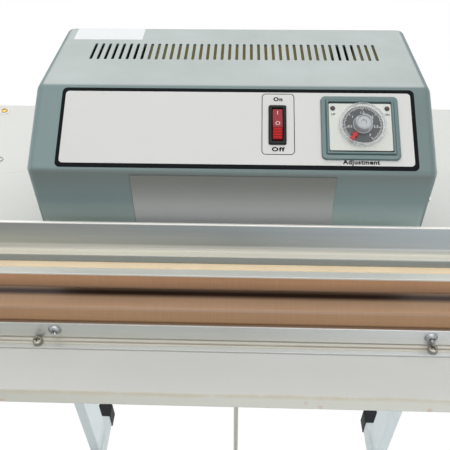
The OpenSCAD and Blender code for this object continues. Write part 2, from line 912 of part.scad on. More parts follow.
module return_springs() {
  free = block_low - spring_low - 2 * pass_c;
  rise = free - spring_wire;
  n = spring_turns * steps_per_turn;
  wire = spring_wire / 2;
  // Dead turns at both ends take one wire diameter each, the rest climb evenly
  function height(turn) =
    turn < 1 ? spring_wire * turn :
    turn > spring_turns - 1 ? rise - spring_wire * (spring_turns - turn) :
    spring_wire + (rise - 2 * spring_wire) * (turn - 1) / (spring_turns - 2);
  rings = [for (i = [0:n])
    let (turn = i / steps_per_turn, a = 360 * turn)
    for (k = [0:sides - 1])
      let (b = 360 * k / sides, r = spring_r + wire * cos(b))
      [r * cos(a), r * sin(a), height(turn) + wire * sin(b)]];
  walls = [for (i = [0:n - 1], k = [0:sides - 1])
    let (m = (k + 1) % sides)
    [i * sides + k, i * sides + m, (i + 1) * sides + m, (i + 1) * sides + k]];
  first = [for (k = [sides - 1:-1:0]) k];
  last = [for (k = [0:sides - 1]) n * sides + k];
  color(steel)
    for (x = [-post_x, post_x])
      translate([x, jaw_y, spring_low + pass_c + wire])
        polyhedron(points = rings, faces = concat([first], walls, [last]), convexity = 6);
}

module yoke() {
  color(stand_colour)
    difference() {
      square_tube_x(-post_x - 12, post_x + 12, jaw_y, yoke_low + yoke_h / 2, yoke_d, yoke_h);
      mirrored()
        translate([post_x, jaw_y, yoke_low - 1]) cylinder(d = post_d + 2 * run_c, h = yoke_h + 2);
      translate([0, jaw_y, yoke_low - 1]) cylinder(d = rod_d + 2 * run_c, h = yoke_h + 2);
    }
}

eye_d = 14;
eye_w = 2 * lug_x - 2 * pass_c;

// Round steel rod with an eye at its lower end
module pull_rod() {
  color(zinc)
    difference() {
      union() {
        translate([0, jaw_y, pin_z + 4]) cylinder(d = rod_d, h = yoke_top + 16 - pin_z - 4);
        translate([-eye_w / 2, jaw_y, pin_z]) rotate([0, 90, 0]) cylinder(d = eye_d, h = eye_w);
      }
      translate([-eye_w, jaw_y, pin_z]) rotate([0, 90, 0]) cylinder(d = pin_d + 2 * run_c, h = 2 * eye_w);
    }
}

module rod_nuts() {
  color(zinc)
    translate([0, jaw_y, 0]) {
      translate([0, 0, yoke_top]) hex_nut(10, 5, rod_d + 2 * run_c);
      translate([0, 0, yoke_low - 5]) hex_nut(10, 5, rod_d + 2 * run_c);
    }
}

module rod_pin() {
  reach = lug_x + lug_t + 3;
  color(steel)
    translate([-reach, jaw_y, pin_z])
      rotate([0, 90, 0]) {
        cylinder(d = pin_d, h = 2 * reach);
        translate([0, 0, -2]) cylinder(d = 10, h = 2);
        translate([0, 0, 2 * reach]) cylinder(d = 10, h = 2);
      }
}

// ---------- microswitch under the yoke ----------
micro_x = 110;
plunger_travel = 1.5;
micro_top = yoke_low - stroke + plunger_travel - pass_c;
plunger_out = 2.5;
micro_body_top = micro_top - plunger_out;
micro_h = 16;
bracket_y = jaw_y + yoke_d / 2 + 4;

module switch_bracket() {
  low = micro_body_top - micro_h - 2;
  color(steel) {
    box(micro_x - 15, micro_x + 15, bracket_y, bracket_y + 2, low, table_under);
    box(micro_x - 15, micro_x + 15, jaw_y - 8, bracket_y, low, low + 2);
  }
}

module microswitch() {
  color(black)
    difference() {
      box(micro_x - 14, micro_x + 14, jaw_y - 5, jaw_y + 5, micro_body_top - micro_h, micro_body_top);
      translate([micro_x, jaw_y, micro_body_top - 6]) cylinder(d = 4 + 2 * run_c, h = 10);
    }
}

module microswitch_plunger() {
  color([0.80, 0.15, 0.10])
    translate([micro_x, jaw_y, micro_body_top - 3]) cylinder(d = 4, h = 3 + plunger_out);
}

// ---------- pedal ----------
arm_back = 14;

// Frame of the pedal: y runs back from the pivot, negative y towards the treadle
module on_pedal() {
  translate([0, pivot_y, pivot_z]) rotate([-pedal_angle, 0, 0]) children();
}

module pedal_frame() {
  plate_y = -pedal_len;
  pin = [-(pivot_y - jaw_y), pin_z - pivot_z];
  // The pin's place in the pedal's own frame
  pin_s = pin.x * cos(pedal_angle) - pin.y * sin(pedal_angle);
  pin_v = pin.x * sin(pedal_angle) + pin.y * cos(pedal_angle);
  color(stand_colour)
    on_pedal() {
      mirrored()
        difference() {
          across(arm_t, arm_x + arm_t / 2)
            polygon(rounded([[plate_y + 6, -arm_h / 2, 4], [arm_back - 3, -arm_h / 2, 8],
              [arm_back - 3, arm_h / 2, 8], [plate_y + 6, arm_h / 2, 0]]));
          translate([arm_x - 1, 0, 0]) rotate([0, 90, 0]) cylinder(d = shaft_d + 2 * run_c, h = arm_t + 2);
        }
      // Treadle plate with a turned-down front edge
      across(treadle_w)
        polygon(rounded([[plate_y, arm_h / 2 - treadle_fold, 0], [plate_y + 3, arm_h / 2 - treadle_fold, 0],
          [plate_y + 3, arm_h / 2, 2], [plate_y + treadle_d, arm_h / 2, 0],
          [plate_y + treadle_d, arm_h / 2 + 3, 0], [plate_y, arm_h / 2 + 3, 4]]));
      // Cross strap behind the pin and the two lugs that hold the pin
      box(-arm_x, arm_x, pin_s + 12, pin_s + 18, -arm_h / 2, arm_h / 2);
      mirrored()
        difference() {
          across(lug_t, lug_x + lug_t / 2)
            polygon(rounded([[pin_s - 10, pin_v - 10, 9], [pin_s + 12, pin_v - 10, 0],
              [pin_s + 12, pin_v + 8, 0], [pin_s - 10, pin_v + 10, 9]]));
          translate([lug_x - 1, pin_s, pin_v])
            rotate([0, 90, 0]) cylinder(d = pin_d + 1.2, h = lug_t + 2);
        }
    }
}

module pedal_pad() {
  ribs = 9;
  pitch = (treadle_d - 14) / ribs;
  color(black)
    on_pedal()
      across(treadle_w - 10)
        difference() {
          translate([-pedal_len + 6, arm_h / 2 + 3]) square([treadle_d - 12, pad_t]);
          for (i = [0:ribs - 1])
            translate([-pedal_len + 8 + i * pitch, arm_h / 2 + 3 + pad_t - 2]) square([pitch / 2, 3]);
        }
}

module pedal_shaft() {
  reach = ear_x + ear_t + 5;
  color(steel)
    translate([-reach, pivot_y, pivot_z])
      rotate([0, 90, 0]) {
        cylinder(d = shaft_d, h = 2 * reach);
        translate([0, 0, -3]) cylinder(d = shaft_d + 6, h = 3);
        translate([0, 0, 2 * reach]) cylinder(d = shaft_d + 6, h = 3);
      }
}

table();
table_screws();
table_washers();
table_rails();
upright_left();
upright_right();
foot_left();
foot_right();
foot_boots();
top_crossbeam();
lower_crossbeam();
stand_bolts();
head_base();
head_cover();
head_screws();
panel_label();
blank_plate();
blank_sticker();
cord_gland();
switch_bezel();
switch_rocker();
timer_bezel();
timer_body();
timer_face();
timer_dial();
timer_lamps();
transformer_core();
transformer_coil();
terminal_block();
lower_jaw();
insulation_strip();
heating_element();
element_terminals();
lower_ptfe();
front_clamp_bar();
clamp_screws();
base_screws();
post_bushes();
upper_jaw();
backing_strip();
nose_bar();
nose_rubber();
upper_ptfe();
jaw_block_left();
jaw_block_right();
guide_posts();
post_nuts();
return_springs();
yoke();
pull_rod();
rod_nuts();
rod_pin();
switch_bracket();
microswitch();
microswitch_plunger();
pedal_frame();
pedal_pad();
pedal_shaft();
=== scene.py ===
from math import atan2, cos, dist, pi, radians, sin, sqrt, tan

import bmesh
import bpy
from mathutils import Matrix, Vector


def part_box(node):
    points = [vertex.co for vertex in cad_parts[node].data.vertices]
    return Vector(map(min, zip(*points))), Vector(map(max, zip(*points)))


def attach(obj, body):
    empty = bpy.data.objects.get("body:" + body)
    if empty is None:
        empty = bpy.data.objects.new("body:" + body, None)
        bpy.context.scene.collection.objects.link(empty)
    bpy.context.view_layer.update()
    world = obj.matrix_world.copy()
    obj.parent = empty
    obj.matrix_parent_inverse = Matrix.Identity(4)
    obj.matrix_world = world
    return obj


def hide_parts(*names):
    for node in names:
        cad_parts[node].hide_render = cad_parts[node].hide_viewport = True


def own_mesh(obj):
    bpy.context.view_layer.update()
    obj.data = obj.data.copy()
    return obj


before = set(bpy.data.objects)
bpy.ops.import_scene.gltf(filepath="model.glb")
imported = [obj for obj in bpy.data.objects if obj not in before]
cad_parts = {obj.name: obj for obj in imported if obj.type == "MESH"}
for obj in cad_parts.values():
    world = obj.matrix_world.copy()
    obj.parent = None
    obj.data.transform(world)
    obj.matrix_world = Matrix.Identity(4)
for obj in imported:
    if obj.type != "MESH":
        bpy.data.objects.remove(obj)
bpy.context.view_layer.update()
MM = 0.001
WORLD = Matrix.Identity(4)
OPEN = (False, False)
scene = bpy.context.scene


def solid(node):
    """The box of a CAD node, in millimetres."""
    lo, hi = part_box(node)
    return lo / MM, hi / MM


# --- places, in millimetres
HEAD_LO, HEAD_HI = solid("head_cover")
HEAD_X = (HEAD_LO.x + HEAD_HI.x) / 2
HEAD_Y, HEAD_REAR, HEAD_TOP, TABLE_Z = HEAD_LO.y, HEAD_HI.y, HEAD_HI.z, HEAD_LO.z
PANEL_RUN, PANEL_RISE = 64.9, 38.8
BEND_Z = HEAD_TOP - PANEL_RISE
TILT = atan2(PANEL_RISE, PANEL_RUN)
PANEL = Matrix.Translation((0, HEAD_Y, BEND_Z)) @ Matrix.Rotation(TILT, 4, "X")
JAW_Y = HEAD_Y - 28.0
POST_X = 334
CREASE = JAW_Y - 76.3
LOWER_TOP, NOSE_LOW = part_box("lower_ptfe")[1].z / MM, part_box("upper_ptfe")[0].z / MM
STROKE = NOSE_LOW - LOWER_TOP - 0.3
WEB_RIM, FLANGE_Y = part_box("upper_jaw")[1].z / MM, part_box("lower_jaw")[0].y / MM
PLATE_X = HEAD_X + 2
# centres on the sloping panel: across, and up the slope
SWITCH, TIMER, DIAL = (30.3, 40.4), (95.6, 38.2), (97.0, 39.2)


def new_object(name, data):
    ob = bpy.data.objects.new(name, data)
    scene.collection.objects.link(ob)
    return ob


# --- camera
CAM_AT = Vector((2.58, HEAD_Y - 353.88, BEND_Z + 269.18)) * MM
PITCH, YAW, ROLL = radians(42.598), radians(2.217), radians(-0.622)
look = Vector((-sin(YAW) * cos(PITCH), cos(YAW) * cos(PITCH), -sin(PITCH)))
side = Vector((cos(YAW), sin(YAW), 0))
over = side.cross(look)
right = cos(ROLL) * side + sin(ROLL) * over
above = -sin(ROLL) * side + cos(ROLL) * over
cam_data = bpy.data.cameras.new("camera")
cam = new_object("camera", cam_data)
cam.matrix_world = Matrix.Translation(CAM_AT) @ Matrix((right, above, -look)).transposed().to_4x4()
cam_data.sensor_width, cam_data.lens = 36, 45.37
cam_data.clip_start, cam_data.clip_end = 0.01, 20
scene.camera = cam
scene.view_settings.view_transform = "Standard"


# --- mesh helpers, all in millimetres
def finish_mesh(me, name, mat, body, at=WORLD, angle=35, even=True):
    """Turns a mesh drawn in millimetres into a piece that rides on a body."""
    me.transform(Matrix.Scale(MM, 4) @ at)
    me.update()
    ob = new_object(name, me)
    me.polygons.foreach_set("use_smooth", [True] * len(me.polygons))
    me.set_sharp_from_angle(angle=radians(angle))
    if even:
        ob.modifiers.new("even", "WEIGHTED_NORMAL").keep_sharp = True
    me.materials.clear()
    me.materials.append(mat)
    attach(ob, body)
    return ob


def shift(x, y=0.0, z=0.0):
    return Matrix.Translation((x, y, z))


def turn(axis, degrees):
    return Matrix.Rotation(radians(degrees), 4, axis)


def along_x(x0, y, z):
    """Lays what was drawn along Z along X."""
    return shift(x0, y, z) @ Matrix(((0, 0, 1, 0), (1, 0, 0, 0), (0, 1, 0, 0), (0, 0, 0, 1)))


def along_y(x, y0, z):
    return shift(x, y0, z) @ Matrix(((1, 0, 0, 0), (0, 0, 1, 0), (0, -1, 0, 0), (0, 0, 0, 1)))


def pair(x, y, z, then=WORLD):
    """The same place on the left and on the right."""
    return [shift(sx * x, y, z) @ then for sx in (-1, 1)]


def moved(me, m):
    me.transform(m)
    return me


def to_mesh(bm):
    me = bpy.data.meshes.new("m")
    bm.to_mesh(me)
    bm.free()
    return me


def loft(rings, caps=(True, True)):
    """Skins rings of points that all have the same count."""
    bm = bmesh.new()
    vs = [[bm.verts.new(p) for p in r] for r in rings]
    n = len(rings[0])
    for a, b in zip(vs, vs[1:]):
        for i in range(n):
            j = (i + 1) % n
            bm.faces.new((a[i], a[j], b[j], b[i]))
    if caps[0]:
        bm.faces.new(list(reversed(vs[0])))
    if caps[1]:
        bm.faces.new(vs[-1])
    bmesh.ops.remove_doubles(bm, verts=bm.verts, dist=1e-4)
    bmesh.ops.recalc_face_normals(bm, faces=bm.faces)
    return to_mesh(bm)


def joined(meshes):
    bm = bmesh.new()
    for me in meshes:
        bm.from_mesh(me)
        bpy.data.meshes.remove(me)
    return to_mesh(bm)


def copies(me, places):
    """One mesh repeated at several places."""
    out = [moved(me.copy(), m) for m in places]
    bpy.data.meshes.remove(me)
    return joined(out)


def cut(me, cutter, how="DIFFERENCE"):
    """A Boolean of two meshes."""
    a, b = new_object("a", me), new_object("b", cutter)
    mod = a.modifiers.new("cut", "BOOLEAN")
    mod.object, mod.operation, mod.solver = b, how, "EXACT"
    dg = bpy.context.evaluated_depsgraph_get()
    out = bpy.data.meshes.new_from_object(a.evaluated_get(dg))
    bpy.data.objects.remove(a)
    bpy.data.objects.remove(b)
    return out


def fillet(corners, n=6):
    """Rounds a closed outline; each corner is (a, b, radius)."""
    out = []
    for i, (x, y, r) in enumerate(corners):
        if r <= 0:
            out.append((x, y))
            continue
        p = Vector((x, y))
        u = (Vector(corners[i - 1][:2]) - p).normalized()
        w = (Vector(corners[(i + 1) % len(corners)][:2]) - p).normalized()
        half = u.angle(w) / 2
        c = p + (u + w).normalized() * (r / sin(half))
        s = p + u * (r / tan(half)) - c
        e = p + w * (r / tan(half)) - c
        a0, a1 = atan2(s.y, s.x), atan2(e.y, e.x)
        sweep = (a1 - a0 + pi) % (2 * pi) - pi
        for k in range(n + 1):
            a = a0 + sweep * k / n
            out.append((c.x + r * cos(a), c.y + r * sin(a)))
    return out


def rect(w, h, r, n=6):
    return fillet([(-w / 2, -h / 2, r), (w / 2, -h / 2, r), (w / 2, h / 2, r), (-w / 2, h / 2, r)], n)


def rings_of(w, h, r, profile, n=6, least=0.25):
    """Rings of a rounded rectangle; each step of the profile is (inset, height)."""
    return [[(x, y, z) for x, y in rect(w - 2 * d, h - 2 * d, max(r - d, least), n)] for d, z in profile]


def tube(w, h, r, wall, length):
    """A rounded rectangular tube along Z from 0 to its length."""
    steps = [(0.3, 0), (0, 0.3), (0, length - 0.3), (0.3, length), (wall, length), (wall, 0), (0.3, 0)]
    return loft(rings_of(w, h, r, steps, 5, 0.3), OPEN)


def bar(outline, x0, x1, soft=0.4, steps=1):
    """An outline in depth and height run along X, with softened ends."""
    n = len(outline)
    cy, cz = sum(p[0] for p in outline) / n, sum(p[1] for p in outline) / n
    big = max(max(abs(p[0] - cy) for p in outline), max(abs(p[1] - cz) for p in outline))

    def ring(x, s):
        return [(x, cy + (p[0] - cy) * s, cz + (p[1] - cz) * s) for p in outline]
    rings = [ring(x0 + soft + (x1 - x0 - 2 * soft) * i / steps, 1) for i in range(steps + 1)]
    return loft([ring(x0, 1 - soft / big)] + rings + [ring(x1, 1 - soft / big)])


def lathe(profile, n=48, caps=(True, True)):
    """Revolves (radius, height) steps round Z."""
    return loft([[(r * cos(2 * pi * i / n), r * sin(2 * pi * i / n), z) for i in range(n)]
                 for r, z in profile], caps)


def peg(r, z0, z1, n):
    """A plain round pin, for boring."""
    return lathe([(0.01, z0), (r, z0), (r, z1), (0.01, z1)], n)


def cube(x0, x1, y0, y1, z0, z1):
    return loft([[(x0, y0, z), (x1, y0, z), (x1, y1, z), (x0, y1, z)] for z in (z0, z1)])


def writing(text, size, thick=0.03, bold=0.0, wide=1.0, space=1.0):
    """Flat lettering centred on its own origin."""
    cu = bpy.data.curves.new("t", "FONT")
    cu.body, cu.size, cu.extrude = text, size, thick
    cu.align_x, cu.align_y = "CENTER", "CENTER"
    cu.resolution_u, cu.offset, cu.space_character = 3, bold, space
    ob = new_object("t", cu)
    dg = bpy.context.evaluated_depsgraph_get()
    dg.update()
    me = bpy.data.meshes.new_from_object(ob.evaluated_get(dg))
    bpy.data.objects.remove(ob)
    return moved(me, Matrix.Diagonal((wide, 1, 1, 1)))


def screw(d, h, recess=0.5, dome=True):
    """A screw head standing on Z = 0 with a cross recess."""
    r = d / 2
    if dome:
        side_of = [(r, 0.25), (r, h * 0.22), (r * 0.96, h * 0.4), (r * 0.84, h * 0.68), (r * 0.62, h * 0.9),
                   (r * 0.34, h), (0.01, h)]
    else:
        side_of = [(r, 0.2), (r, h * 0.55), (r * 0.95, h * 0.75), (r * 0.84, h * 0.92), (r * 0.66, h),
                   (0.01, h)]
    head = lathe([(0.01, 0), (r - 0.15, 0)] + side_of, 40)
    w, b = r * 0.62, r * 0.17
    for a in (38, 128):
        groove = loft([[(-w * k, -b * k, z), (w * k, -b * k, z), (w * k, b * k, z), (-w * k, b * k, z)]
                       for k, z in ((0.6, h * (1 - recess)), (1.1, h + 0.5))])
        head = cut(head, moved(groove, turn("Z", a)))
    return head


def hex_piece(af, h, bore=0.0):
    """A hexagonal nut or bolt head with turned corners."""
    r = af / 2 / cos(pi / 6)
    prism = loft([[(r * cos(pi / 3 * i), r * sin(pi / 3 * i), z) for i in range(6)] for z in (0, h)])
    lo, t = bore / 2 or 0.01, (r - af / 2) * 0.75
    ring = [(lo, 0), (af / 2 - 0.2, 0), (r + 0.05, t), (r + 0.05, h - t), (af / 2 - 0.2, h), (lo, h)]
    return cut(prism, lathe(ring + ring[:1], 72, OPEN) if bore else lathe(ring, 72), "INTERSECT")


def thread(z, end, pitch, crest, root, half):
    """Grooves of a screw thread, as (radius, height) steps."""
    steps = []
    while z < end:
        steps += [(crest, z), (root, z + half), (crest, z + 2 * half)]
        z += pitch
    return steps


def helix(radius, wire, turns, z0, z1, sides=10, steps=28):
    """A closed-end compression spring."""
    rise, rings = z1 - z0 - wire, []
    around = [2 * pi * k / sides for k in range(sides)]
    for i in range(turns * steps + 1):
        t = i / steps
        if t < 1:
            z = wire * t
        elif t > turns - 1:
            z = rise - wire * (turns - t)
        else:
            z = wire + (rise - 2 * wire) * (t - 1) / (turns - 2)
        a = 2 * pi * t
        rings.append([((radius + wire / 2 * cos(b)) * cos(a), (radius + wire / 2 * cos(b)) * sin(a),
                       z0 + wire / 2 + z + wire / 2 * sin(b)) for b in around])
    return loft(rings)


# --- materials
def rgb(r, g, b):
    """An sRGB colour of 0 to 255 as the linear one that nodes take."""
    return tuple((c / 255 / 12.92) if c / 255 <= 0.04045 else ((c / 255 + 0.055) / 1.055) ** 2.4
                 for c in (r, g, b)) + (1,)


def shade(c, k):
    return tuple(min(1, v * k) for v in c[:3]) + (1,)


class Net:
    """A material's nodes. A value is a constant or another node's output."""
    SOCKETS = {"rough": "Roughness", "metal": "Metallic", "spec": "Specular IOR Level", "coat": "Coat Weight",
               "sheen": "Sheen Weight", "sheen_rough": "Sheen Roughness", "aniso": "Anisotropic",
               "alpha": "Alpha", "emit": "Emission Strength"}

    def __init__(self, name):
        self.mat = bpy.data.materials.new(name)
        self.mat.use_nodes = True
        self.t = self.mat.node_tree
        self.b = self.t.nodes["Principled BSDF"]
        self.co = self.add("TexCoord").outputs["Object"]
        self.normal = None

    def feed(self, value, socket):
        if isinstance(value, bpy.types.NodeSocket):
            self.t.links.new(value, socket)
        else:
            socket.default_value = value

    def add(self, kind, inputs=(), **kw):
        n = self.t.nodes.new("ShaderNode" + kind)
        for k, v in kw.items():
            setattr(n, k, v)
        for k, v in inputs:
            self.feed(v, n.inputs[k])
        return n

    def noise(self, scale, detail=3, rough=0.55, stretch=(1, 1, 1)):
        m = self.add("Mapping", (("Scale", stretch), ("Vector", self.co)))
        return self.add("TexNoise", (("Scale", scale), ("Detail", detail), ("Roughness", rough),
                                     ("Vector", m.outputs[0]))).outputs["Fac"]

    def wave(self, scale, axis, distort):
        return self.add("TexWave", (("Scale", scale), ("Distortion", distort), ("Vector", self.co)),
                        bands_direction=axis).outputs["Fac"]

    def times(self, colour, k):
        return self.add("VectorMath", ((0, colour), ("Scale", k)), operation="SCALE").outputs["Vector"]

    def span(self, fac, a, b, lo=0.0, hi=1.0):
        """Lo to hi while fac goes from a to b."""
        return self.add("MapRange", (("Value", fac), ("From Min", a), ("From Max", b),
                                               ("To Min", lo), ("To Max", hi))).outputs["Result"]

    def run(self, axis, a, b):
        """0 to 1 between two places on an axis, in millimetres."""
        return self.span(self.axis(axis), a * MM, b * MM)

    def mix(self, fac, a, b):
        return self.add("Mix", ((0, fac), (6, a), (7, b)), data_type="RGBA").outputs[2]

    def thirds(self, left, mid, right, end=0.3):
        """A slow change of colour from the left end over the middle to the right."""
        x = self.axis("X")
        return self.mix(self.span(x, 0.0, end), self.mix(self.span(x, -0.3, 0.0), left, mid), right)

    def clouded(self, fac, c, vary, lo=0.3, hi=0.7):
        return self.mix(self.span(fac, lo, hi), shade(c, 1 - vary), shade(c, 1 + vary))

    def math(self, op, a, b=0.0):
        return self.add("Math", ((0, a), (1, b)), operation=op).outputs[0]

    def mul(self, a, b):
        return self.math("MULTIPLY", a, b)

    def plus(self, a, b):
        return self.math("ADD", a, b)

    def minus(self, a, b):
        return self.math("SUBTRACT", a, b)

    def part(self, vector, name):
        return self.add("SeparateXYZ", ((0, vector),)).outputs[name]

    def axis(self, name):
        return self.part(self.co, name)

    def facing(self, name):
        return self.part(self.add("NewGeometry").outputs["Normal"], name)

    def away(self, v, centre):
        return self.math("ABSOLUTE", self.minus(v, centre))

    def band(self, v, centre, half):
        """1 at the centre of a narrow band, falling to 0 at its edges."""
        return self.span(self.away(v, centre), 0.0, half, 1.0, 0.0)

    def colour(self, c):
        self.feed(c, self.b.inputs["Base Color"])

    def put(self, **kw):
        for k, v in kw.items():
            self.feed(v, self.b.inputs[self.SOCKETS[k]])

    def bump(self, height, strength=0.3, depth=0.0002):
        n = self.add("Bump", (("Strength", strength), ("Distance", depth), ("Height", height)))
        if self.normal:
            self.feed(self.normal, n.inputs["Normal"])
        self.normal = n.outputs["Normal"]
        self.feed(self.normal, self.b.inputs["Normal"])


def paint(name, c, rough, vary, peel, tone=None, spec=0.5):
    """Sprayed paint: fine orange peel, faint clouding, an optional tone over it."""
    n = Net(name)
    body = n.clouded(n.noise(14, 4, 0.6), c, vary)
    n.colour(tone(n, body) if tone else body)
    n.put(rough=n.span(n.noise(60, 3), 0.3, 0.7, rough - 0.06, rough + 0.08), spec=spec)
    n.bump(n.noise(1400, 2, 0.5), peel, 0.00005)
    n.bump(n.noise(260, 2, 0.5), peel * 0.7, 0.0001)
    return n.mat


def metal(name, c, rough, along, depth, vary, aniso=0.0, amount=1.0):
    """Drawn or brushed metal: streaks run along the axis with the small stretch."""
    n = Net(name)
    streak = n.noise(420, 4, 0.65, along)
    n.colour(n.clouded(n.plus(n.mul(streak, 0.6), n.mul(n.noise(9, 3, 0.5), 0.4)), c, vary, 0.35, 0.65))
    n.put(metal=amount, rough=n.span(streak, 0.3, 0.7, rough - 0.06, rough + 0.1), aniso=aniso)
    n.bump(streak, depth, 0.00004)
    return n.mat


def plastic(name, c, rough, grain=0.1, vary=0.04, **kw):
    n = Net(name)
    n.colour(n.clouded(n.noise(40, 3), c, vary))
    n.put(rough=n.span(n.noise(300, 2), 0.3, 0.7, rough - 0.04, rough + 0.06), **kw)
    n.bump(n.noise(2600, 2), grain, 0.00003)
    return n.mat


def shade_rounded_edge(n, body, k):
    """Painted shade on a rounded edge between a front and a top, where the lamps' light would gather: the
    colour there is scaled by factor k.
    """
    z = n.facing("Z")
    return n.mix(n.mul(n.span(z, 0.42, 0.7), n.span(z, 1.0, 0.9)), body, n.times(body, k))


def cloth(name, top, front, scorch_and_shade, scorch_and_shade_mask, painted_top_light=1.0):
    """Coated glass cloth: a fine weave, uneven in tone. Painted light: its top and front are lit and shaded
    copies of one cloth, its rounded edge gets painted shade, and the dark band where the seal is made is
    painted shade as well as scorch.
    """
    n = Net(name)
    warp, weft, weftz = (n.wave(250, axis, 0.4) for axis in "XYZ")
    weave = n.plus(n.mul(warp, 0.5), n.mul(n.plus(weft, weftz), 0.25))
    blotch = n.noise(26, 4, 0.6, (0.35, 1.6, 1.6))
    ribs = n.span(n.noise(700, 2, 0.5, (1, 0.02, 0.02)), 0.35, 0.65)
    tone = n.plus(n.plus(n.mul(weave, 0.3), n.mul(blotch, 0.6)), n.mul(ribs, 0.1))
    tone = n.span(tone, 0.28, 0.72)
    # Painted light: the top colour and the front colour stand for one cloth lit from above and shaded in front,
    # and the front can be painted lighter towards its top.
    up = n.mix(tone, shade(top, 0.9), shade(top, 1.06))
    ahead = n.mix(tone, shade(front, 0.84), shade(front, 1.1))
    ahead = n.mix(n.run("Z", NOSE_LOW + 7.5, NOSE_LOW + 14), ahead, n.times(ahead, painted_top_light))
    clean = shade_rounded_edge(n, n.mix(n.span(n.facing("Z"), 0.25, 0.8), ahead, up), 0.7)
    n.colour(n.mix(scorch_and_shade_mask(n), clean, scorch_and_shade))
    n.put(rough=n.span(blotch, 0.3, 0.7, 0.42, 0.55), sheen=0.15, sheen_rough=0.5)
    n.bump(weave, 0.25, 0.00008)
    n.bump(n.noise(45, 3, 0.6, (0.25, 1, 1)), 0.35, 0.0006)
    return n.mat


def streaked(name, make, rough, amount):
    """Drawn aluminium whose colour comes from make; fine streaks run along X."""
    n = Net(name)
    fine, broad = n.noise(420, 4, 0.65, (0.01, 1, 1)), n.noise(70, 3, 0.6, (0.03, 1, 1))
    k = n.span(n.plus(n.mul(fine, 0.45), n.mul(broad, 0.55)), 0.36, 0.64)
    body = make(n)
    n.colour(n.mix(k, n.times(body, 0.93), n.times(body, 1.06)))
    n.put(metal=amount, rough=n.span(fine, 0.3, 0.7, rough - 0.05, rough + 0.08), aniso=0.2)
    n.bump(fine, 0.25, 0.00004)
    return n.mat


def head_tone_with_painted_light(n, body):
    """Head paint with painted light: front faces lighter and other faces darker towards the right, painted
    sheen on the level top, a painted lift of light at the foot of the front, painted shade below the bend in
    front, and an inner wall behind the slots that glows as painted light, with two dark gaps."""
    x = n.axis("X")
    ahead = n.span(n.facing("Y"), -0.75, -0.97)
    # Painted light: front faces lighter towards the right end, other faces darker towards it.
    body = n.mix(ahead, n.mix(n.span(x, -0.16, 0.15), body, n.times(body, 0.8)),
                 n.mix(n.span(x, -0.12, 0.1), n.times(body, 0.93), n.times(body, 1.2)))
    # Painted sheen: the level top is paler, as a glossy top catching the overhead light.
    painted_top_sheen = n.mix(n.span(n.noise(22, 4, 0.6, (0.6, 1, 1)), 0.3, 0.7), rgb(175, 182, 179), rgb(186, 192, 190))
    out = n.mix(n.span(n.facing("Z"), 0.95, 0.999), body, painted_top_sheen)
    # Painted light: the front is painted pale towards its foot, where the upper jaw keeps the light off.
    foot = n.math("POWER", n.run("Z", BEND_Z - 29, BEND_Z - 54), 1.4)
    pale = n.mix(n.span(x, -0.12, 0.1), rgb(186, 200, 193), rgb(204, 219, 212))
    out = n.mix(n.mul(ahead, foot), out, pale)
    # Painted shade on the front just below the bend.
    painted_shade_below_bend = n.mul(ahead, n.run("Z", BEND_Z - 30, BEND_Z - 3))
    out = n.mix(n.mul(painted_shade_below_bend, 0.55), out, rgb(103, 106, 99))
    # Painted light: the inner rear wall seen through the slots glows in a pale olive colour, an emission,
    # except in two dark gaps.
    inside = n.mul(n.run("Y", HEAD_REAR - 4, HEAD_REAR - 3), n.span(n.facing("Y"), -0.5, -0.6))
    dark = n.math("MINIMUM", 1.0, n.mul(n.band(x, 0.1, 0.015), 2.0))
    lit = n.mul(n.mul(inside, n.span(x, -0.096, -0.093)), n.minus(1.0, dark))
    n.b.inputs["Emission Color"].default_value = rgb(104, 98, 66)
    n.put(emit=n.mul(lit, 0.9))
    return n.mix(lit, out, rgb(214, 200, 140))


def table_shade_and_wear(n, body):
    """Painted shade growing from the rear towards the front, painted shade on the lip deepest at the left, warm
    wear along the front fold, a few chips and a faint grey line near the left end.
    """
    y, x = n.axis("Y"), n.axis("X")
    # Painted shade: the sheet darkens from the rear towards the front, where the head and the jaws shade it.
    ends = n.mix(n.span(x, -0.3, 0.3), n.times(body, 0.80), n.times(body, 0.82))
    out = n.mix(n.run("Y", HEAD_Y + 215, JAW_Y - 20), n.times(body, 1.055), ends)
    # Painted shade on the lip, darker towards the left end.
    lip = n.thirds(rgb(183, 181, 170), rgb(199, 198, 188), rgb(208, 208, 200))
    out = n.mix(n.run("Y", CREASE + 0.6, CREASE - 1.2), out, lip)
    bent = n.plus(y, n.mul(n.minus(n.noise(9, 2, 0.5), 0.5), 0.004))
    fold = n.mul(n.band(bent, (CREASE - 1.2) * MM, 0.0021), n.span(n.noise(34, 4, 0.7), 0.3, 0.55))
    out = n.mix(n.mul(fold, 0.6), out, rgb(184, 170, 140))
    grain = n.mul(n.minus(n.noise(220, 3, 0.7), 0.5), 0.004)
    for cx, cy, wide, share in ((-0.195, -6.8, 0.0035, 0.5), (0.058, -4.5, 0.0018, 0.35),
                                (0.069, -6.5, 0.0028, 0.4), (0.158, -7.2, 0.0028, 0.5)):
        gap, drop = n.plus(n.away(x, cx), grain), n.plus(n.away(y, (CREASE + cy) * MM), grain)
        spot = n.mul(n.span(gap, wide, wide * 0.6), n.span(drop, 0.0013, 0.0007))
        out = n.mix(n.mul(spot, share), out, rgb(188, 150, 120))
    # A faint grey line near the left end.
    line = n.plus(n.plus(n.mul(x, -0.25), y), -(HEAD_Y + 259) * MM)
    near = n.mul(n.band(line, 0.0, 0.0007), n.band(x, -0.275, 0.02))
    return n.mix(n.mul(near, 0.35), out, rgb(150, 146, 138))


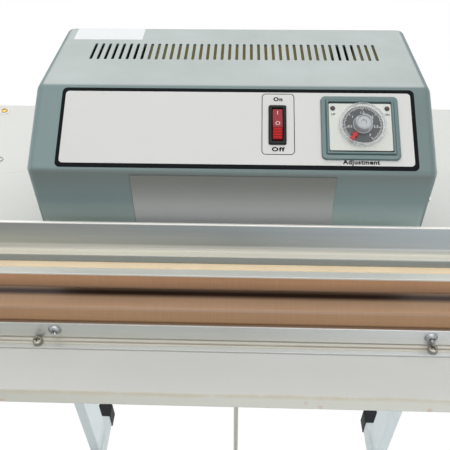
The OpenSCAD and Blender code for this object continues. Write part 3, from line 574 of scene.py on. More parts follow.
def stand_painted_shade(n, body):
    """The stand's paint, with painted shade on the front faces towards the left, and darker down at the feet.
    """
    # Painted shade: front faces darker towards the left end.
    ahead = n.mul(n.span(n.facing("Y"), -0.5, -0.9), n.run("X", 200, -260))
    out = n.mix(ahead, body, n.times(body, 0.85))
    return n.mix(n.run("Z", 80, 40), out, n.times(out, 0.87))


def web_painted_light(n):
    """The upper angle, with painted light: a painted highlight on the rim, a streaky web under a painted
    reflection, painted shade on the fillet, a pale foot top that is a painted reflection, and painted shade on
    the foot's front edge.
    """
    # Painted reflection on the web: lighter towards the right end, and lighter downwards at the left end.
    high = n.thirds(rgb(132, 132, 125), rgb(146, 153, 157), rgb(194, 202, 209), 0.26)
    low = n.thirds(rgb(179, 177, 164), rgb(147, 150, 145), rgb(191, 199, 206), 0.26)
    web = n.mix(n.run("Z", WEB_RIM - 1.1, WEB_RIM - 21.6), high, low)
    # The foot's top is a pale painted reflection, and its rounded fillet gets painted shade.
    foot = shade_rounded_edge(n, n.mix(n.span(n.facing("Z"), 0.3, 0.97), web, rgb(232, 227, 212)), 0.52)
    # Painted shade on the foot's front edge.
    edge = n.mul(n.run("Z", WEB_RIM - 28.4, WEB_RIM - 29), n.span(n.facing("Y"), -0.6, -0.85))
    out = n.mix(edge, foot, rgb(144, 152, 153))
    # Painted highlight along the rim.
    return n.mix(n.run("Z", WEB_RIM - 1.3, WEB_RIM - 0.9), out, rgb(228, 225, 219))


def base_tone(n):
    """The lower jaw: pale flange with an ivory step and two brown lines before the clamp bar."""
    level = n.run("Z", TABLE_Z + 4.5, TABLE_Z + 4)
    out = n.mix(n.span(n.axis("X"), -0.3, 0.3), rgb(182, 182, 175), rgb(194, 196, 196))
    out = n.mix(n.mul(n.run("Y", FLANGE_Y + 3.6, FLANGE_Y + 4.2), level), out, rgb(200, 197, 186))
    for at, wide in ((FLANGE_Y + 6.9, 0.0009), (FLANGE_Y + 10.2, 0.0007)):
        line = n.mul(n.band(n.axis("Y"), at * MM, wide), level)
        line = n.mul(line, n.span(n.noise(30, 3, 0.6, (0.2, 1, 1)), 0.2, 0.5))
        out = n.mix(n.mul(line, 0.7), out, rgb(104, 80, 62))
    return out


def bar_painted_light(n):
    """The clamp bar: brushed face painted lighter towards the right end, and painted shade along its top edge
    in a brown tone.
    """
    out = n.thirds(rgb(205, 207, 202), rgb(204, 206, 204), rgb(247, 249, 252))
    # Painted shade along the top edge, in a brown tone.
    return n.mix(n.run("Z", LOWER_TOP - 11.7, LOWER_TOP - 11.1), out, rgb(121, 102, 85))


def plate_grey():
    """The blank plate, with painted light: a painted reflection dark at its top and light at its foot, and a
    thin painted shadow along two edges.
    """
    n = Net("grey_plate")
    # Painted reflection: dark at the top, light at the foot.
    down = n.math("POWER", n.run("Z", BEND_Z - 6, BEND_Z - 72), 1.6)
    painted_reflection = n.mix(down, rgb(118, 119, 113), rgb(252, 252, 252))
    # Painted shadow along the top and the left edges.
    line = n.math("MAXIMUM", n.run("Z", BEND_Z - 4.7, BEND_Z - 4.2), n.run("X", PLATE_X - 81.3, PLATE_X - 81.8))
    n.colour(n.mix(n.mul(line, 0.7), painted_reflection, rgb(70, 72, 70)))
    n.put(rough=n.span(n.noise(200, 2), 0.3, 0.7, 0.5, 0.62), metal=0.05)
    n.bump(n.noise(700, 3, 0.6), 0.1, 0.00005)
    return n.mat


def rocker_red():
    """The lit rocker: pale red above, which is a painted reflection, and deeper on the lower face."""
    n = Net("rocker_red")
    n.colour(n.mix(n.run("Z", BEND_Z + 23.7, BEND_Z + 22.9), rgb(144, 46, 54), rgb(140, 0, 8)))
    n.put(rough=0.34, spec=0.2)
    n.bump(n.noise(900, 2), 0.05, 0.00004)
    return n.mat


def clear_plastic():
    n = Net("clear_plastic")
    streaks = n.noise(900, 2, 0.6)
    n.colour(n.mix(n.span(streaks, 0.35, 0.65), rgb(196, 200, 202), rgb(246, 248, 248)))
    n.put(rough=0.22, alpha=n.span(streaks, 0.3, 0.7, 0.22, 0.45))
    n.bump(n.noise(600, 2), 0.1, 0.0001)
    return n.mat


# stretch of a metal's grain: none, along X, along Z
EVEN, ALONG, UPRIGHT = (1, 1, 1), (0.01, 1, 1), (1, 1, 0.02)
INK = plastic("black_ink", rgb(8, 11, 14), 0.6, 0.04, 0.06, spec=0.08)
PRINT = plastic("print_black", rgb(6, 7, 9), 0.6, 0.02, 0.04, spec=0.05)
POINT = plastic("pointer_red", rgb(172, 12, 24), 0.4, 0.02, 0.03)
STAND = paint("stand_paint", rgb(240, 248, 249), 0.4, 0.01, 0.18, stand_painted_shade)
ZINC = metal("zinc_steel", rgb(188, 188, 186), 0.26, EVEN, 0.2, 0.12, 0.0, 0.95)
BRASS = metal("brass", rgb(206, 172, 104), 0.3, EVEN, 0.2, 0.1)
CHROME = metal("ground_steel", rgb(214, 216, 218), 0.14, UPRIGHT, 0.08, 0.03)
SPRING = metal("spring_steel", rgb(128, 130, 134), 0.32, EVEN, 0.25, 0.1)
BLACK = plastic("black_plastic", rgb(11, 14, 16), 0.45, 0.2, spec=0.2)
RUBBER = plastic("black_rubber", rgb(22, 24, 27), 0.62, 0.4, spec=0.3)
PAPER = plastic("white_sticker", rgb(232, 233, 233), 0.55, 0.05, 0.01)


# A dark band along the seal line below the nose: painted shade, and scorch.
def low_scorch_and_shade(n):
    return n.math("MINIMUM", 1.0, n.mul(n.band(n.axis("Y"), (JAW_Y + 1.4) * MM, 0.0058), 1.3))


# The nose darker towards its bottom: painted shade on its rounded underside, and scorch.
def up_scorch_and_shade(n):
    return n.run("Z", NOSE_LOW + 6.5, NOSE_LOW + 0.5)


# material, material slot, CAD nodes
LOOKS = (
    (paint("head_paint", rgb(118, 136, 135), 0.44, 0.02, 0.1, head_tone_with_painted_light, 0.35), "head_paint", "head_cover"),
    (paint("head_inside", rgb(92, 96, 84), 0.6, 0.1, 0.2), "", "head_base"),
    (paint("table_paint", rgb(221, 220, 215), 0.42, 0.012, 0.15, table_shade_and_wear), "table_sheet", "table"),
    (STAND, "stand_paint", "table_rails upright_left upright_right foot_left foot_right top_crossbeam "
                           "lower_crossbeam yoke pedal_frame"),
    (BRASS, "brass_hardware", "table_screws element_terminals post_bushes"),
    (PAPER, "white_washer", "table_washers"),
    (PAPER, "sticker_white", "blank_sticker"),
    (RUBBER, "rubber_black", "foot_boots pedal_pad"),
    (ZINC, "zinc_bolt", "stand_bolts head_screws post_nuts rod_nuts rod_pin"),
    (ZINC, "bracket_steel", "switch_bracket"),
    (metal("screw_zinc", rgb(158, 161, 163), 0.3, EVEN, 0.2, 0.12, 0.0, 0.95), "zinc_bolt", "clamp_screws"),
    (metal("worn_steel", rgb(150, 146, 136), 0.34, EVEN, 0.3, 0.25, 0.0, 0.9), "zinc_bolt", "base_screws"),
    (INK, "label_film", "panel_label"),
    (plate_grey(), "plate_grey", "blank_plate"),
    (BLACK, "black_plastic", "cord_gland switch_bezel timer_body microswitch"),
    (rocker_red(), "rocker_red", "switch_rocker"),
    (POINT, "plunger_red", "microswitch_plunger"),
    (plastic("timer_case", rgb(88, 111, 111), 0.34, 0.1, 0.03, coat=0.2), "timer_case", "timer_bezel"),
    (plastic("timer_scale", rgb(208, 208, 201), 0.5, 0.04, 0.01), "timer_scale", "timer_face"),
    (plastic("dial_disc", rgb(64, 68, 70), 0.4, 0.05, 0.05), "dial_plastic", "timer_dial"),
    (plastic("lamp_red", rgb(70, 34, 36), 0.25, 0.02, 0.05), "lamp_red", "timer_lamps"),
    (metal("laminations", rgb(92, 84, 76), 0.6, (0.02, 0.02, 1), 0.8, 0.2), "", "transformer_core"),
    (plastic("coil_tape", rgb(196, 150, 70), 0.45, 0.3, 0.08), "", "transformer_coil"),
    (plastic("terminal_cream", rgb(220, 214, 194), 0.45, 0.1), "", "terminal_block"),
    (plastic("laminate_tan", rgb(246, 222, 186), 0.5, 0.2, 0.04), "insulation",
     "insulation_strip backing_strip"),
    (metal("nichrome", rgb(140, 134, 128), 0.4, ALONG, 0.3, 0.1), "nichrome", "heating_element"),
    # The cloths' top and front colours are lit and shaded copies (painted light). Their darkest colour is
    # painted shade as well as scorch, and the upper cloth's front is painted lighter towards its top.
    (cloth("lower_cloth", rgb(192, 154, 122), rgb(149, 109, 68), rgb(54, 24, 6), low_scorch_and_shade),
     "ptfe_cloth", "lower_ptfe"),
    (cloth("upper_cloth", rgb(184, 142, 106), rgb(160, 117, 81), rgb(44, 18, 4), up_scorch_and_shade, 1.35),
     "ptfe_cloth", "upper_ptfe"),
    (streaked("bar_aluminium", bar_painted_light, 0.36, 0.6), "bar_aluminium", "front_clamp_bar"),
    (streaked("base_aluminium", base_tone, 0.42, 0.35), "jaw_aluminium", "lower_jaw"),
    (streaked("angle_aluminium", web_painted_light, 0.42, 0.35), "jaw_aluminium", "upper_jaw"),
    (metal("jaw_aluminium", rgb(190, 190, 184), 0.42, ALONG, 0.3, 0.05, 0.3, 0.4), "jaw_aluminium",
     "jaw_block_left jaw_block_right"),
    (metal("nose_bar_aluminium", rgb(213, 213, 206), 0.42, ALONG, 0.3, 0.05, 0.3, 0.4), "bar_aluminium",
     "nose_bar"),
    (plastic("silicone_rubber", rgb(176, 92, 66), 0.55, 0.2, 0.05), "silicone", "nose_rubber"),
    (CHROME, "ground_steel", "guide_posts pedal_shaft"),
    (SPRING, "spring_steel", "return_springs"),
    (metal("passivated_rod", rgb(186, 186, 170), 0.38, UPRIGHT, 0.3, 0.12, 0.0, 0.7), "zinc_rod", "pull_rod"),
)
base = {node: row[:2] for row in LOOKS for node in row[2].split()}
for name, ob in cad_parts.items():
    ob.data.materials.clear()
    ob.data.materials.append(base[name][0])


def stand_in(me, name, node, body="frame", angle=35, at=WORLD, even=True):
    """A piece that stands for one CAD node, in that node's material."""
    ob = finish_mesh(me, name, base[node][0], body, at, angle, even)
    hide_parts(node)
    return ob


# --- control box shell
def head_outline(d, low):
    """The box's side outline drawn in by d, its bottom edge left where it is."""
    t, c = tan(TILT), cos(TILT)
    rear, bend, front = [max(v - d, 0.6) for v in (7.0, 10.0, 6.0)]
    return fillet([
        (HEAD_Y + d, low, 0), (HEAD_REAR - d, low, 0), (HEAD_REAR - d, HEAD_TOP - d, rear),
        (HEAD_Y + (PANEL_RISE - d + d / c) / t, HEAD_TOP - d, bend),
        (HEAD_Y + d, BEND_Z + d * t - d / c, front)], 8)


def pillow(outline, half, soft, low, steps=8):
    """Runs an outline across X with rounded side edges."""
    rings = []
    for sign in (-1, 1):
        part = []
        for k in range(steps + 1):
            a = pi / 2 * k / steps
            d, x = soft * (1 - sin(a)), half - soft * (1 - cos(a))
            part.append([(sign * x, y, z) for y, z in outline(d, low)])
        rings += part if sign < 0 else part[::-1]
    return loft(rings)


def windows(w, h, tw, th, deep, x0=0.0):
    """The switch's and the timer's openings, as half sizes, in the panel's plane."""
    return joined([cube(x - x0 - a, x - x0 + a, y - b, y + b, -deep, deep)
                   for (x, y), a, b in ((SWITCH, w, h), (TIMER, tw, th))])


HALF, WALL = (HEAD_HI.x - HEAD_LO.x) / 2, 1.6
SLOTS, SLOT_PITCH = 40, 6.47
shell = pillow(head_outline, HALF, 8.0, TABLE_Z)
hollow = pillow(lambda d, low: head_outline(d + WALL, low), HALF - WALL, 8.0 - WALL, TABLE_Z - 1)
shell = cut(shell, hollow)
slot = []
for i in range(SLOTS):
    x, y0 = (i - (SLOTS - 1) / 2) * SLOT_PITCH, HEAD_Y + PANEL_RUN + 45.7
    pts = [(x + 1.3 * cos(a + pi * k / 8), y0 + end + 1.35 * sin(a + pi * k / 8))
           for a, end in ((pi, 1.35), (0, 30.15)) for k in range(9)]
    slot.append(loft([[(px, py, z) for px, py in pts] for z in (HEAD_TOP - 4, HEAD_TOP + 2)]))
shell = cut(shell, joined(slot))
shell = cut(shell, moved(windows(5.65, 14.8, 24.8, 20.5, 5, HEAD_X), PANEL))
stand_in(shell, "head_shell", "head_cover", angle=30, at=shift(HEAD_X))

# --- panel label
LABEL_X, LABEL_S = HEAD_X + 4.1, 37.6


def panel_piece(me, name, mat, x=0.0, s=0.0, o=0.0, angle=35):
    return finish_mesh(me, name, mat, "frame", PANEL @ shift(x, s, o), angle)


holes = windows(5.6, 14.7, 24.6, 20.2, 3)
border = moved(loft(rings_of(286, 70.2, 4, [(0, 0), (0, 0.25), (0.12, 0.36)])), shift(LABEL_X, LABEL_S))
border = panel_piece(cut(border, holes.copy()), "label_border", INK)
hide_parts("panel_label")
field = loft(rings_of(279.8, 63.4, 3, [(0, 0.2), (0, 0.4), (0.1, 0.46)]))
field = cut(moved(field, shift(LABEL_X - 0.1, LABEL_S + 0.2)), holes)
FILM = plastic("label_film", rgb(213, 211, 208), 0.6, 0.05, 0.008, spec=0.25)
panel_piece(field, "label_field", FILM)

line = rings_of(26.3, 53.7, 3.4, ((0, 0.46), (0, 0.5), (0.6, 0.5), (0.6, 0.46)))
panel_piece(loft(line, OPEN), "switch_outline", PRINT, 30.85, 41.55)
for word, size, bold, wide, space, x, s in (
        ("On", 4.7, 0.22, 1.15, 1.12, 30.8, 63.2), ("Off", 4.7, 0.22, 1.35, 1.2, 30.6, 19.2),
        ("Adjustment", 5.1, 0.2, 1.08, 1.1, 95.6, 9.0)):
    me = writing(word, size, 0.03, bold, wide, space)
    panel_piece(me, "word_" + word.lower(), PRINT, x, s, 0.48)

# --- rocker switch
frame_profile = [(0, 0.3), (0, 1.3), (0.5, 2.1), (1.5, 2.5), (2.4, 2.5), (2.9, 2.1), (3.0, 1.0), (3.0, -7)]
bez = loft(rings_of(14.3, 34.6, 1.6, frame_profile), caps=(False, True))
stand_in(bez, "switch_frame", "switch_bezel", at=PANEL @ shift(*SWITCH))
side_view = fillet([(-13.1, -3.4, 1), (13.1, -3.4, 1), (13.1, 0.9, 0.7), (-3.6, 3.4, 0.5),
                    (-13.1, -0.2, 1.0)], 4)
rings = []
for x, k in ((-3.85, 0.97), (-3.7, 0.99), (-3.3, 1), (3.3, 1), (3.7, 0.99), (3.85, 0.97)):
    rings.append([(x, s * k, o * k) for s, o in side_view])
rocker_at = PANEL @ shift(SWITCH[0], SWITCH[1], 1.8)
stand_in(loft(rings), "rocker_cap", "switch_rocker", "rocker", 25, at=rocker_at)
ribs = []
for i in range(4):
    s = -5.4 - 2.0 * i
    o = 3.4 + (s + 3.6) * 3.6 / 9.5
    ribs.append(moved(loft([[(x, y * k, z * k) for y, z in rect(0.9, 0.5, 0.2, 2)] for x, k in
                            ((-3.0, 0.6), (-2.8, 1), (2.8, 1), (3.0, 0.6))]), shift(0, s, o) @ turn("X", 20.7)))
finish_mesh(joined(ribs), "rocker_ribs", plastic("rocker_rib", rgb(214, 0, 10), 0.34, 0.05, 0.05, spec=0.2),
            "rocker", rocker_at)
MARK = plastic("rocker_mark", rgb(240, 205, 205), 0.4, 0.02, 0.01)
for word, s, o in (("I", 9.2, 1.56), ("O", -0.6, 3.02)):
    tilt = atan2(-2.5, 16.7)
    at = PANEL @ shift(SWITCH[0], SWITCH[1] + s, 1.8 + o) @ Matrix.Rotation(tilt, 4, "X")
    finish_mesh(writing(word, 5.0, 0.05), "rocker_mark_" + word, MARK, "rocker", at)

# --- timer
case_profile = [(0, 0.3), (0, 1.9), (0.35, 2.6), (1.1, 3.0), (3.3, 3.1), (3.9, 2.7), (4.05, 2.7), (4.15, 4.1),
                (4.5, 4.5), (5.3, 4.5), (5.8, 4.2), (6.0, 3.4), (6.1, 2.2), (6.3, 0.4)]
stand_in(loft(rings_of(61.6, 55, 4, case_profile), caps=OPEN), "timer_frame", "timer_bezel",
         angle=28, at=PANEL @ shift(*TIMER))
sheet_face = loft(rings_of(49.4, 40.8, 1.2, [(0, 0), (0, 0.6), (0.15, 0.8)]))
hub_hole = peg(3.3, -1, 2, 32)
sheet_face = cut(sheet_face, moved(hub_hole, shift(DIAL[0] - TIMER[0], DIAL[1] - TIMER[1])))
stand_in(sheet_face, "timer_scale", "timer_face", at=PANEL @ shift(TIMER[0], TIMER[1], 2.6))

disc = lathe([(0.01, 0), (15.4, 0), (15.6, 0.3), (15.6, 1.3), (15.3, 1.6), (0.01, 1.6)], 96)
dial_at = PANEL @ shift(DIAL[0], DIAL[1], 3.7)
stand_in(disc, "dial_disc", "timer_dial", "dial", at=dial_at)
ticks = []
for i in range(61):
    a = radians(240 - 300 * i / 60)
    long = 2.8 if i % 10 == 0 else (2.0 if i % 5 == 0 else 1.5)
    m = Matrix.Rotation(a, 4, "Z")
    ticks.append(moved(cube(15.3 - long, 15.3, -0.18, 0.18, 1.62, 1.67), m))
for i, t in enumerate(("0", "0.5", "1", "1.5", "2", "2.5", "3")):
    a = radians(240 - 50 * i)
    ticks.append(moved(writing(t, 3.1), shift(10.3 * cos(a), 10.3 * sin(a), 1.65)))
finish_mesh(joined(ticks), "dial_marks", plastic("dial_marks", rgb(226, 226, 222), 0.5, 0.02, 0.01), "frame",
            dial_at)

rim_side = [(15.75, 0.1), (18.0, 0.1), (18.25, 0.5), (18.25, 4.0), (17.9, 4.4), (17.4, 4.4), (17.2, 4.0),
            (17.0, 2.6), (15.75, 2.4), (15.75, 0.1)]
rim = []
for r, z in rim_side:
    knurl = [r + (0.22 if i % 3 == 0 and r > 17.9 else 0) for i in range(180)]
    rim.append([(q * cos(2 * pi * i / 180), q * sin(2 * pi * i / 180), z) for i, q in enumerate(knurl)])
finish_mesh(loft(rim, OPEN), "dial_rim", clear_plastic(), "dial", dial_at, 30)
grip = lathe([(0.01, 1.6), (7.9, 1.6), (7.9, 2.2), (7.3, 2.8), (7.0, 6.6), (6.6, 7.6), (5.8, 8.0), (5.3, 7.6),
              (5.0, 6.6), (2.2, 6.4), (1.8, 5.6), (0.01, 5.6)], 64)
grip = cut(grip, moved(cube(-12, 12, 5.6, 12, 2.6, 12), turn("Z", 20)))
grip = cut(grip, moved(cube(-12, 12, -12, -6.2, 3.4, 12), turn("Z", 55)))
finish_mesh(grip, "dial_grip", plastic("grip_plastic", rgb(170, 174, 176), 0.18, 0.03, 0.02, coat=0.5), "dial",
            dial_at, 30)
blade = fillet([(-1.0, 8.6, 0.4), (1.0, 8.6, 0.4), (2.6, 11.6, 0.8), (1.3, 13.2, 0.3), (2.2, 15.4, 0.5),
                (0, 17.6, 0.8), (-2.2, 15.4, 0.5), (-1.3, 13.2, 0.3), (-2.6, 11.6, 0.8)], 3)
hand = loft([[(x * k, 13 + (y - 13) * k, z) for x, y in blade]
             for k, z in ((0.97, 1.7), (1, 2.0), (1, 3.0), (0.85, 3.4))])
finish_mesh(moved(hand, turn("Z", 144)), "dial_pointer", POINT, "dial", dial_at)
for word, x in (("UP", -21.2), ("ON", 21.2)):
    panel_piece(writing(word, 2.5, 0.03, 0.05, 1.1), "timer_" + word, PRINT,
                TIMER[0] + x, TIMER[1] + 10.6, 3.43)
lens = lathe([(0.01, 0), (1.35, 0), (1.35, 0.5), (1.1, 1.0), (0.6, 1.2), (0.01, 1.25)], 32)
lens_rim = lathe([(1.4, 0), (2.0, 0), (2.0, 0.4), (1.8, 0.6), (1.4, 0.6), (1.4, 0)], 32, OPEN)
lamps = pair(21.5, 0, 0)
stand_in(copies(lens, lamps), "lamp_lenses", "timer_lamps", at=PANEL @ shift(TIMER[0], TIMER[1] + 15.9, 3.4))
panel_piece(copies(lens_rim, lamps), "lamp_rims", plastic("lamp_rim", rgb(52, 52, 54), 0.35, 0.02, 0.05),
            TIMER[0], TIMER[1] + 15.9, 3.4)

# --- plate, sticker and gland on the box
me = moved(loft(rings_of(164, 70, 1.2, [(0, 0.02), (0, 0.6), (0.2, 0.8)])), turn("X", 90))
stand_in(me, "front_plate", "blank_plate", at=shift(HEAD_X + 2, HEAD_Y, BEND_Z - 39))
lo, hi = solid("blank_sticker")
upper = []
for i in range(19):
    y = lo.y + (hi.y + 3.4 - lo.y) * i / 18
    over_bend = max(0.0, y - (HEAD_REAR - 7.0))
    upper.append((y, HEAD_TOP - 7.0 + sqrt(max(0.0, 49.0 - over_bend ** 2)) + 0.14))
outline = upper + [(y, z - 0.12) for y, z in reversed(upper)]
stand_in(loft([[(x, y, z) for y, z in outline] for x in (lo.x, hi.x)]), "top_sticker", "blank_sticker",
         even=False)
lo, hi = solid("cord_gland")
gx, gz = (lo.x + hi.x) / 2, (lo.z + hi.z) / 2
gland = lathe([(8.9, -4.6), (8.9, 0), (11.5, 0), (11.5, 1.5), (11.2, 5), (10, 5), (10.1, 6), (9.6, 7), (9.6, 9),
               (9.1, 10), (9.1, 12), (8.4, 14), (8.1, 16.6), (7.6, 17), (4.4, 17), (4.1, 16.6), (4.1, -4.6),
               (8.9, -4.6)], 48)
gland = joined([gland, moved(hex_piece(22.4, 5, 20.5), shift(0, 0, 0.1))])
stand_in(gland, "gland", "cord_gland", at=shift(gx, HEAD_REAR, gz) @ turn("X", -90))
lo, hi = solid("head_screws")
reach = (hi.x - lo.x) / 2 - 2.4
places = []
for y, z in ((HEAD_Y + 12, BEND_Z - 34), (HEAD_Y + 25, TABLE_Z + 8), (HEAD_REAR - 25, TABLE_Z + 8)):
    places += [shift(HEAD_X + reach, y, z) @ turn("Y", 90), shift(HEAD_X - reach, y, z) @ turn("Y", -90)]
stand_in(copies(screw(7, 2.4), places), "box_screws", "head_screws")

# --- table
lo, hi = solid("table")
LIP, LIP_TILT, SHEET = 10.5, radians(40), 2
LIP_Y, LIP_Z = LIP * cos(LIP_TILT), LIP * sin(LIP_TILT)
T_LOW = lo.z
nx, nz = SHEET * sin(LIP_TILT), SHEET * cos(LIP_TILT)
sheet_side = fillet([
    (CREASE - LIP_Y, TABLE_Z - LIP_Z, 0.6), (CREASE, TABLE_Z, 3.2), (hi.y, TABLE_Z, 3.0), (hi.y, T_LOW, 0.5),
    (hi.y - SHEET, T_LOW, 0.5), (hi.y - SHEET, TABLE_Z - SHEET, 1.0), (CREASE + 0.73, TABLE_Z - SHEET, 1.4),
    (CREASE - LIP_Y + nx, TABLE_Z - LIP_Z - nz, 0.6)], 5)
top = bar(sheet_side, lo.x, hi.x, 0.6)
prof = fillet([(348.0, T_LOW, 0.5), (350.0, T_LOW, 0.5), (350.0, TABLE_Z - 1.2, 0.9),
               (348.0, TABLE_Z - 1.2, 0)], 4)
skirts = [loft([[(sx * x, y, z) for x, z in prof] for y in (CREASE + 12, hi.y - 1.5)]) for sx in (-1, 1)]
top = cut(top, copies(peg(10.05, -12, 6, 48), pair(POST_X, JAW_Y, TABLE_Z)))
stand_in(joined([top] + skirts), "table_sheet", "table", angle=40)
SX, SY = 331.0, hi.y - 19
washer = lathe([(2.6, 0), (7.4, 0), (7.5, 0.3), (7.3, 1.0), (6.8, 1.2), (2.8, 1.2), (2.6, 1.0), (2.6, 0)], 48,
               OPEN)
stand_in(copies(washer, pair(SX, SY, TABLE_Z)), "washers", "table_washers")
stand_in(copies(screw(9, 3), pair(SX, SY, TABLE_Z + 1.2, turn("Z", 25))), "brass_screws",
         "table_screws")

# --- stand
lo, hi = solid("upright_right")
UP_Y, UP_LOW, UP_TOP = lo.y, lo.z, hi.z
MID = 272.75
channel = fillet([(264, UP_Y, 2.4), (281.5, UP_Y, 0.4), (281.5, UP_Y + 2.5, 0.4), (266.5, UP_Y + 2.5, 1.2),
                  (266.5, UP_Y + 51.5, 1.2), (281.5, UP_Y + 51.5, 0.4), (281.5, UP_Y + 54, 0.4),
                  (264, UP_Y + 54, 2.4)], 5)
for side_name, sx in (("left", -1), ("right", 1)):
    me = loft([[(sx * x, y, z) for x, y in channel] for z in (UP_LOW, UP_TOP)])
    stand_in(me, "channel_" + side_name, "upright_" + side_name, angle=30)
    lo, hi = solid("foot_" + side_name)
    me = tube(25, 35, 2.6, 2, hi.y - lo.y)
    stand_in(me, "foot_tube_" + side_name, "foot_" + side_name, at=along_y(sx * MID, lo.y, 22.5), angle=30)
FOOT_Y0, FOOT_Y1 = lo.y, hi.y
hi = solid("foot_boots")[1]
BW, BT = hi.x - MID, hi.z


def boot_mesh():
    prof = fillet([(-BW, 0, 1.6), (BW, 0, 1.6), (BW, BT, 4.0), (-BW, BT, 4.0)], 6)
    inner = [(-12.5, 5.0), (12.5, 5.0), (12.5, 40.0), (-12.5, 40.0)]
    cy = BT / 2
    steps = [(0.0, 0.93), (0.5, 0.975), (1.6, 1.0)]
    for i in range(4):
        y = 6 + i * 5
        steps += [(y, 1.0), (y + 0.4, 0.985), (y + 1.2, 0.985), (y + 1.6, 1.0)]
    steps += [(27.0, 1.0), (27.5, 0.985)]
    body = loft([[(x * k, y, cy + (z - cy) * k) for x, z in prof] for y, k in steps])
    void = loft([[(x, y, z) for x, z in inner] for y in (1.6, 30)])
    return cut(body, void)


places = []
for sx in (-1, 1):
    places += [shift(sx * MID, FOOT_Y0 - 1.6), shift(sx * MID, FOOT_Y1 + 1.6) @ turn("Z", 180)]
stand_in(copies(boot_mesh(), places), "boots", "foot_boots", angle=30)
lo, hi = solid("table_rails")
rails = [along_y(sx * MID, lo.y, (lo.z + hi.z) / 2) for sx in (-1, 1)]
stand_in(copies(tube(30, 30, 2.6, 2, hi.y - lo.y), rails), "rail_tubes", "table_rails", angle=30)
lo, hi = solid("top_crossbeam")
stand_in(tube(30, 30, 2.6, 2, hi.x - lo.x), "upper_beam", "top_crossbeam",
         at=along_x(lo.x, (lo.y + hi.y) / 2, (lo.z + hi.z) / 2), angle=30)
lo, hi = solid("lower_crossbeam")
CROSS_Y = hi.y - 15
ROD_ARM = 116
PIV_Y, PIV_Z = JAW_Y + ROD_ARM, 30.0
beam = moved(tube(30, 30, 2.6, 2, hi.x - lo.x), along_x(lo.x, CROSS_Y, 22.5))
prof = fillet([(PIV_Y - 10, PIV_Z - 12, 7), (CROSS_Y - 15, PIV_Z - 12, 0), (CROSS_Y - 15, PIV_Z + 7, 0),
               (PIV_Y - 10, PIV_Z + 12, 7)], 6)
ears = []
for sx in (-1, 1):
    x0, x1 = sorted((sx * 74, sx * 78))
    pin = moved(peg(5.05, -3, 9, 48), shift(x0 - 2, PIV_Y, PIV_Z) @ turn("Y", 90))
    ears.append(cut(bar(prof, x0, x1), pin))
    weld = []
    for k in range(15):
        bead = sx * 0.8 * (1 + 0.15 * (k % 2))
        weld.append([(sx * 78 + bead * cos(pi * 2 * j / 8), CROSS_Y - 15 + 0.8 * sin(pi * 2 * j / 8),
                      PIV_Z - 11.5 + 18 * k / 14) for j in range(8)])
    ears.append(loft(weld))
stand_in(joined([beam] + ears), "lower_beam", "lower_crossbeam", angle=30)
bolts = []
for sx in (-1, 1):
    bolts.append(moved(screw(9, 3), shift(sx * (MID + 28), UP_Y + 66, TABLE_Z) @ turn("Z", 15)))
    for y in (UP_Y + 13, UP_Y + 41):
        bolts.append(moved(hex_piece(10, 4), shift(sx * MID, y, UP_TOP) @ turn("X", 180)))
        bolts.append(moved(hex_piece(10, 4), shift(sx * MID, y, UP_LOW)))
    bolts.append(moved(hex_piece(13, 5), shift(sx * (MID + 12.5), CROSS_Y, 22.5) @ turn("Y", 90 * sx)))
stand_in(joined(bolts), "bolts", "stand_bolts", angle=30)

# --- lower jaw
wide = 302
JF, JB = JAW_Y - 16.9, JAW_Y + 16.9
CB = JF - 5
CF = CB - 3.7
CT = LOWER_TOP - 11
FL = CF - 10.6
jaw_side = fillet([
    (FL, TABLE_Z, 0.3), (JB, TABLE_Z, 0.3), (JB, LOWER_TOP - 0.7, 0.8), (JF + 1.0, LOWER_TOP - 0.7, 3.2),
    (CB + 1.1, CT - 0.4, 3.0), (CB + 0.6, TABLE_Z + 3, 0), (CF - 4, TABLE_Z + 3, 0.5), (CF - 4, TABLE_Z + 2, 0),
    (CF - 6.2, TABLE_Z + 2, 0), (CF - 6.4, TABLE_Z + 1.6, 0), (CF - 6.8, TABLE_Z + 1.6, 0),
    (CF - 7.0, TABLE_Z + 2, 0), (FL, TABLE_Z + 2, 0.5)], 5)
bore = fillet([(CB + 4, TABLE_Z + 3, 2), (JB - 3, TABLE_Z + 3, 2), (JB - 3, LOWER_TOP - 5, 2),
               (CB + 7.5, LOWER_TOP - 5, 2)], 5)
me = cut(bar(jaw_side, -318, 318, 0.3), bar(bore, -330, 330, 0.1))
stand_in(me, "jaw_base", "lower_jaw", angle=25)
crease = fillet([
    (CB, LOWER_TOP - 28, 0), (CB, CT, 3.5), (JF, LOWER_TOP, 4.2), (JB, LOWER_TOP, 1.2), (JB, LOWER_TOP - 3, 0),
    (JB - 0.3, LOWER_TOP - 3, 0), (JB - 0.3, LOWER_TOP - 0.5, 0.9), (JF + 0.3, LOWER_TOP - 0.5, 3.8),
    (CB + 0.5, CT, 3.2), (CB + 0.5, LOWER_TOP - 28, 0)], 8)
low = stand_in(bar(crease, -wide, wide, 0.2, 150), "lower_cover", "lower_ptfe", angle=40, even=False)
rib = fillet([(CF, TABLE_Z + 3.2, 0.7), (CB, TABLE_Z + 3.2, 0.4), (CB, CT - 0.2, 0.5), (CB - 1.1, CT, 0.3),
              (CF + 0.6, CT, 0.6), (CF, CT - 0.8, 0.4)], 4)
stand_in(bar(rib, -316, 316), "clamp_bar", "front_clamp_bar", angle=25)
lo, hi = solid("clamp_screws")
cz = (lo.z + hi.z) / 2
places = [shift(x, CF, cz) @ turn("X", 90) @ turn("Z", 20 + 31 * i)
          for i, x in enumerate((-286, -160, 168, 294))]
stand_in(copies(screw(11.4, 3.0, 0.55), places), "clamp_bar_screws", "clamp_screws")
lo, hi = solid("base_screws")
by = (lo.y + hi.y) / 2
places = [shift(x, by, lo.z) @ turn("Z", 20 + 37 * i) for i, x in enumerate((-302.7, -176.2, 170.8, 297.3))]
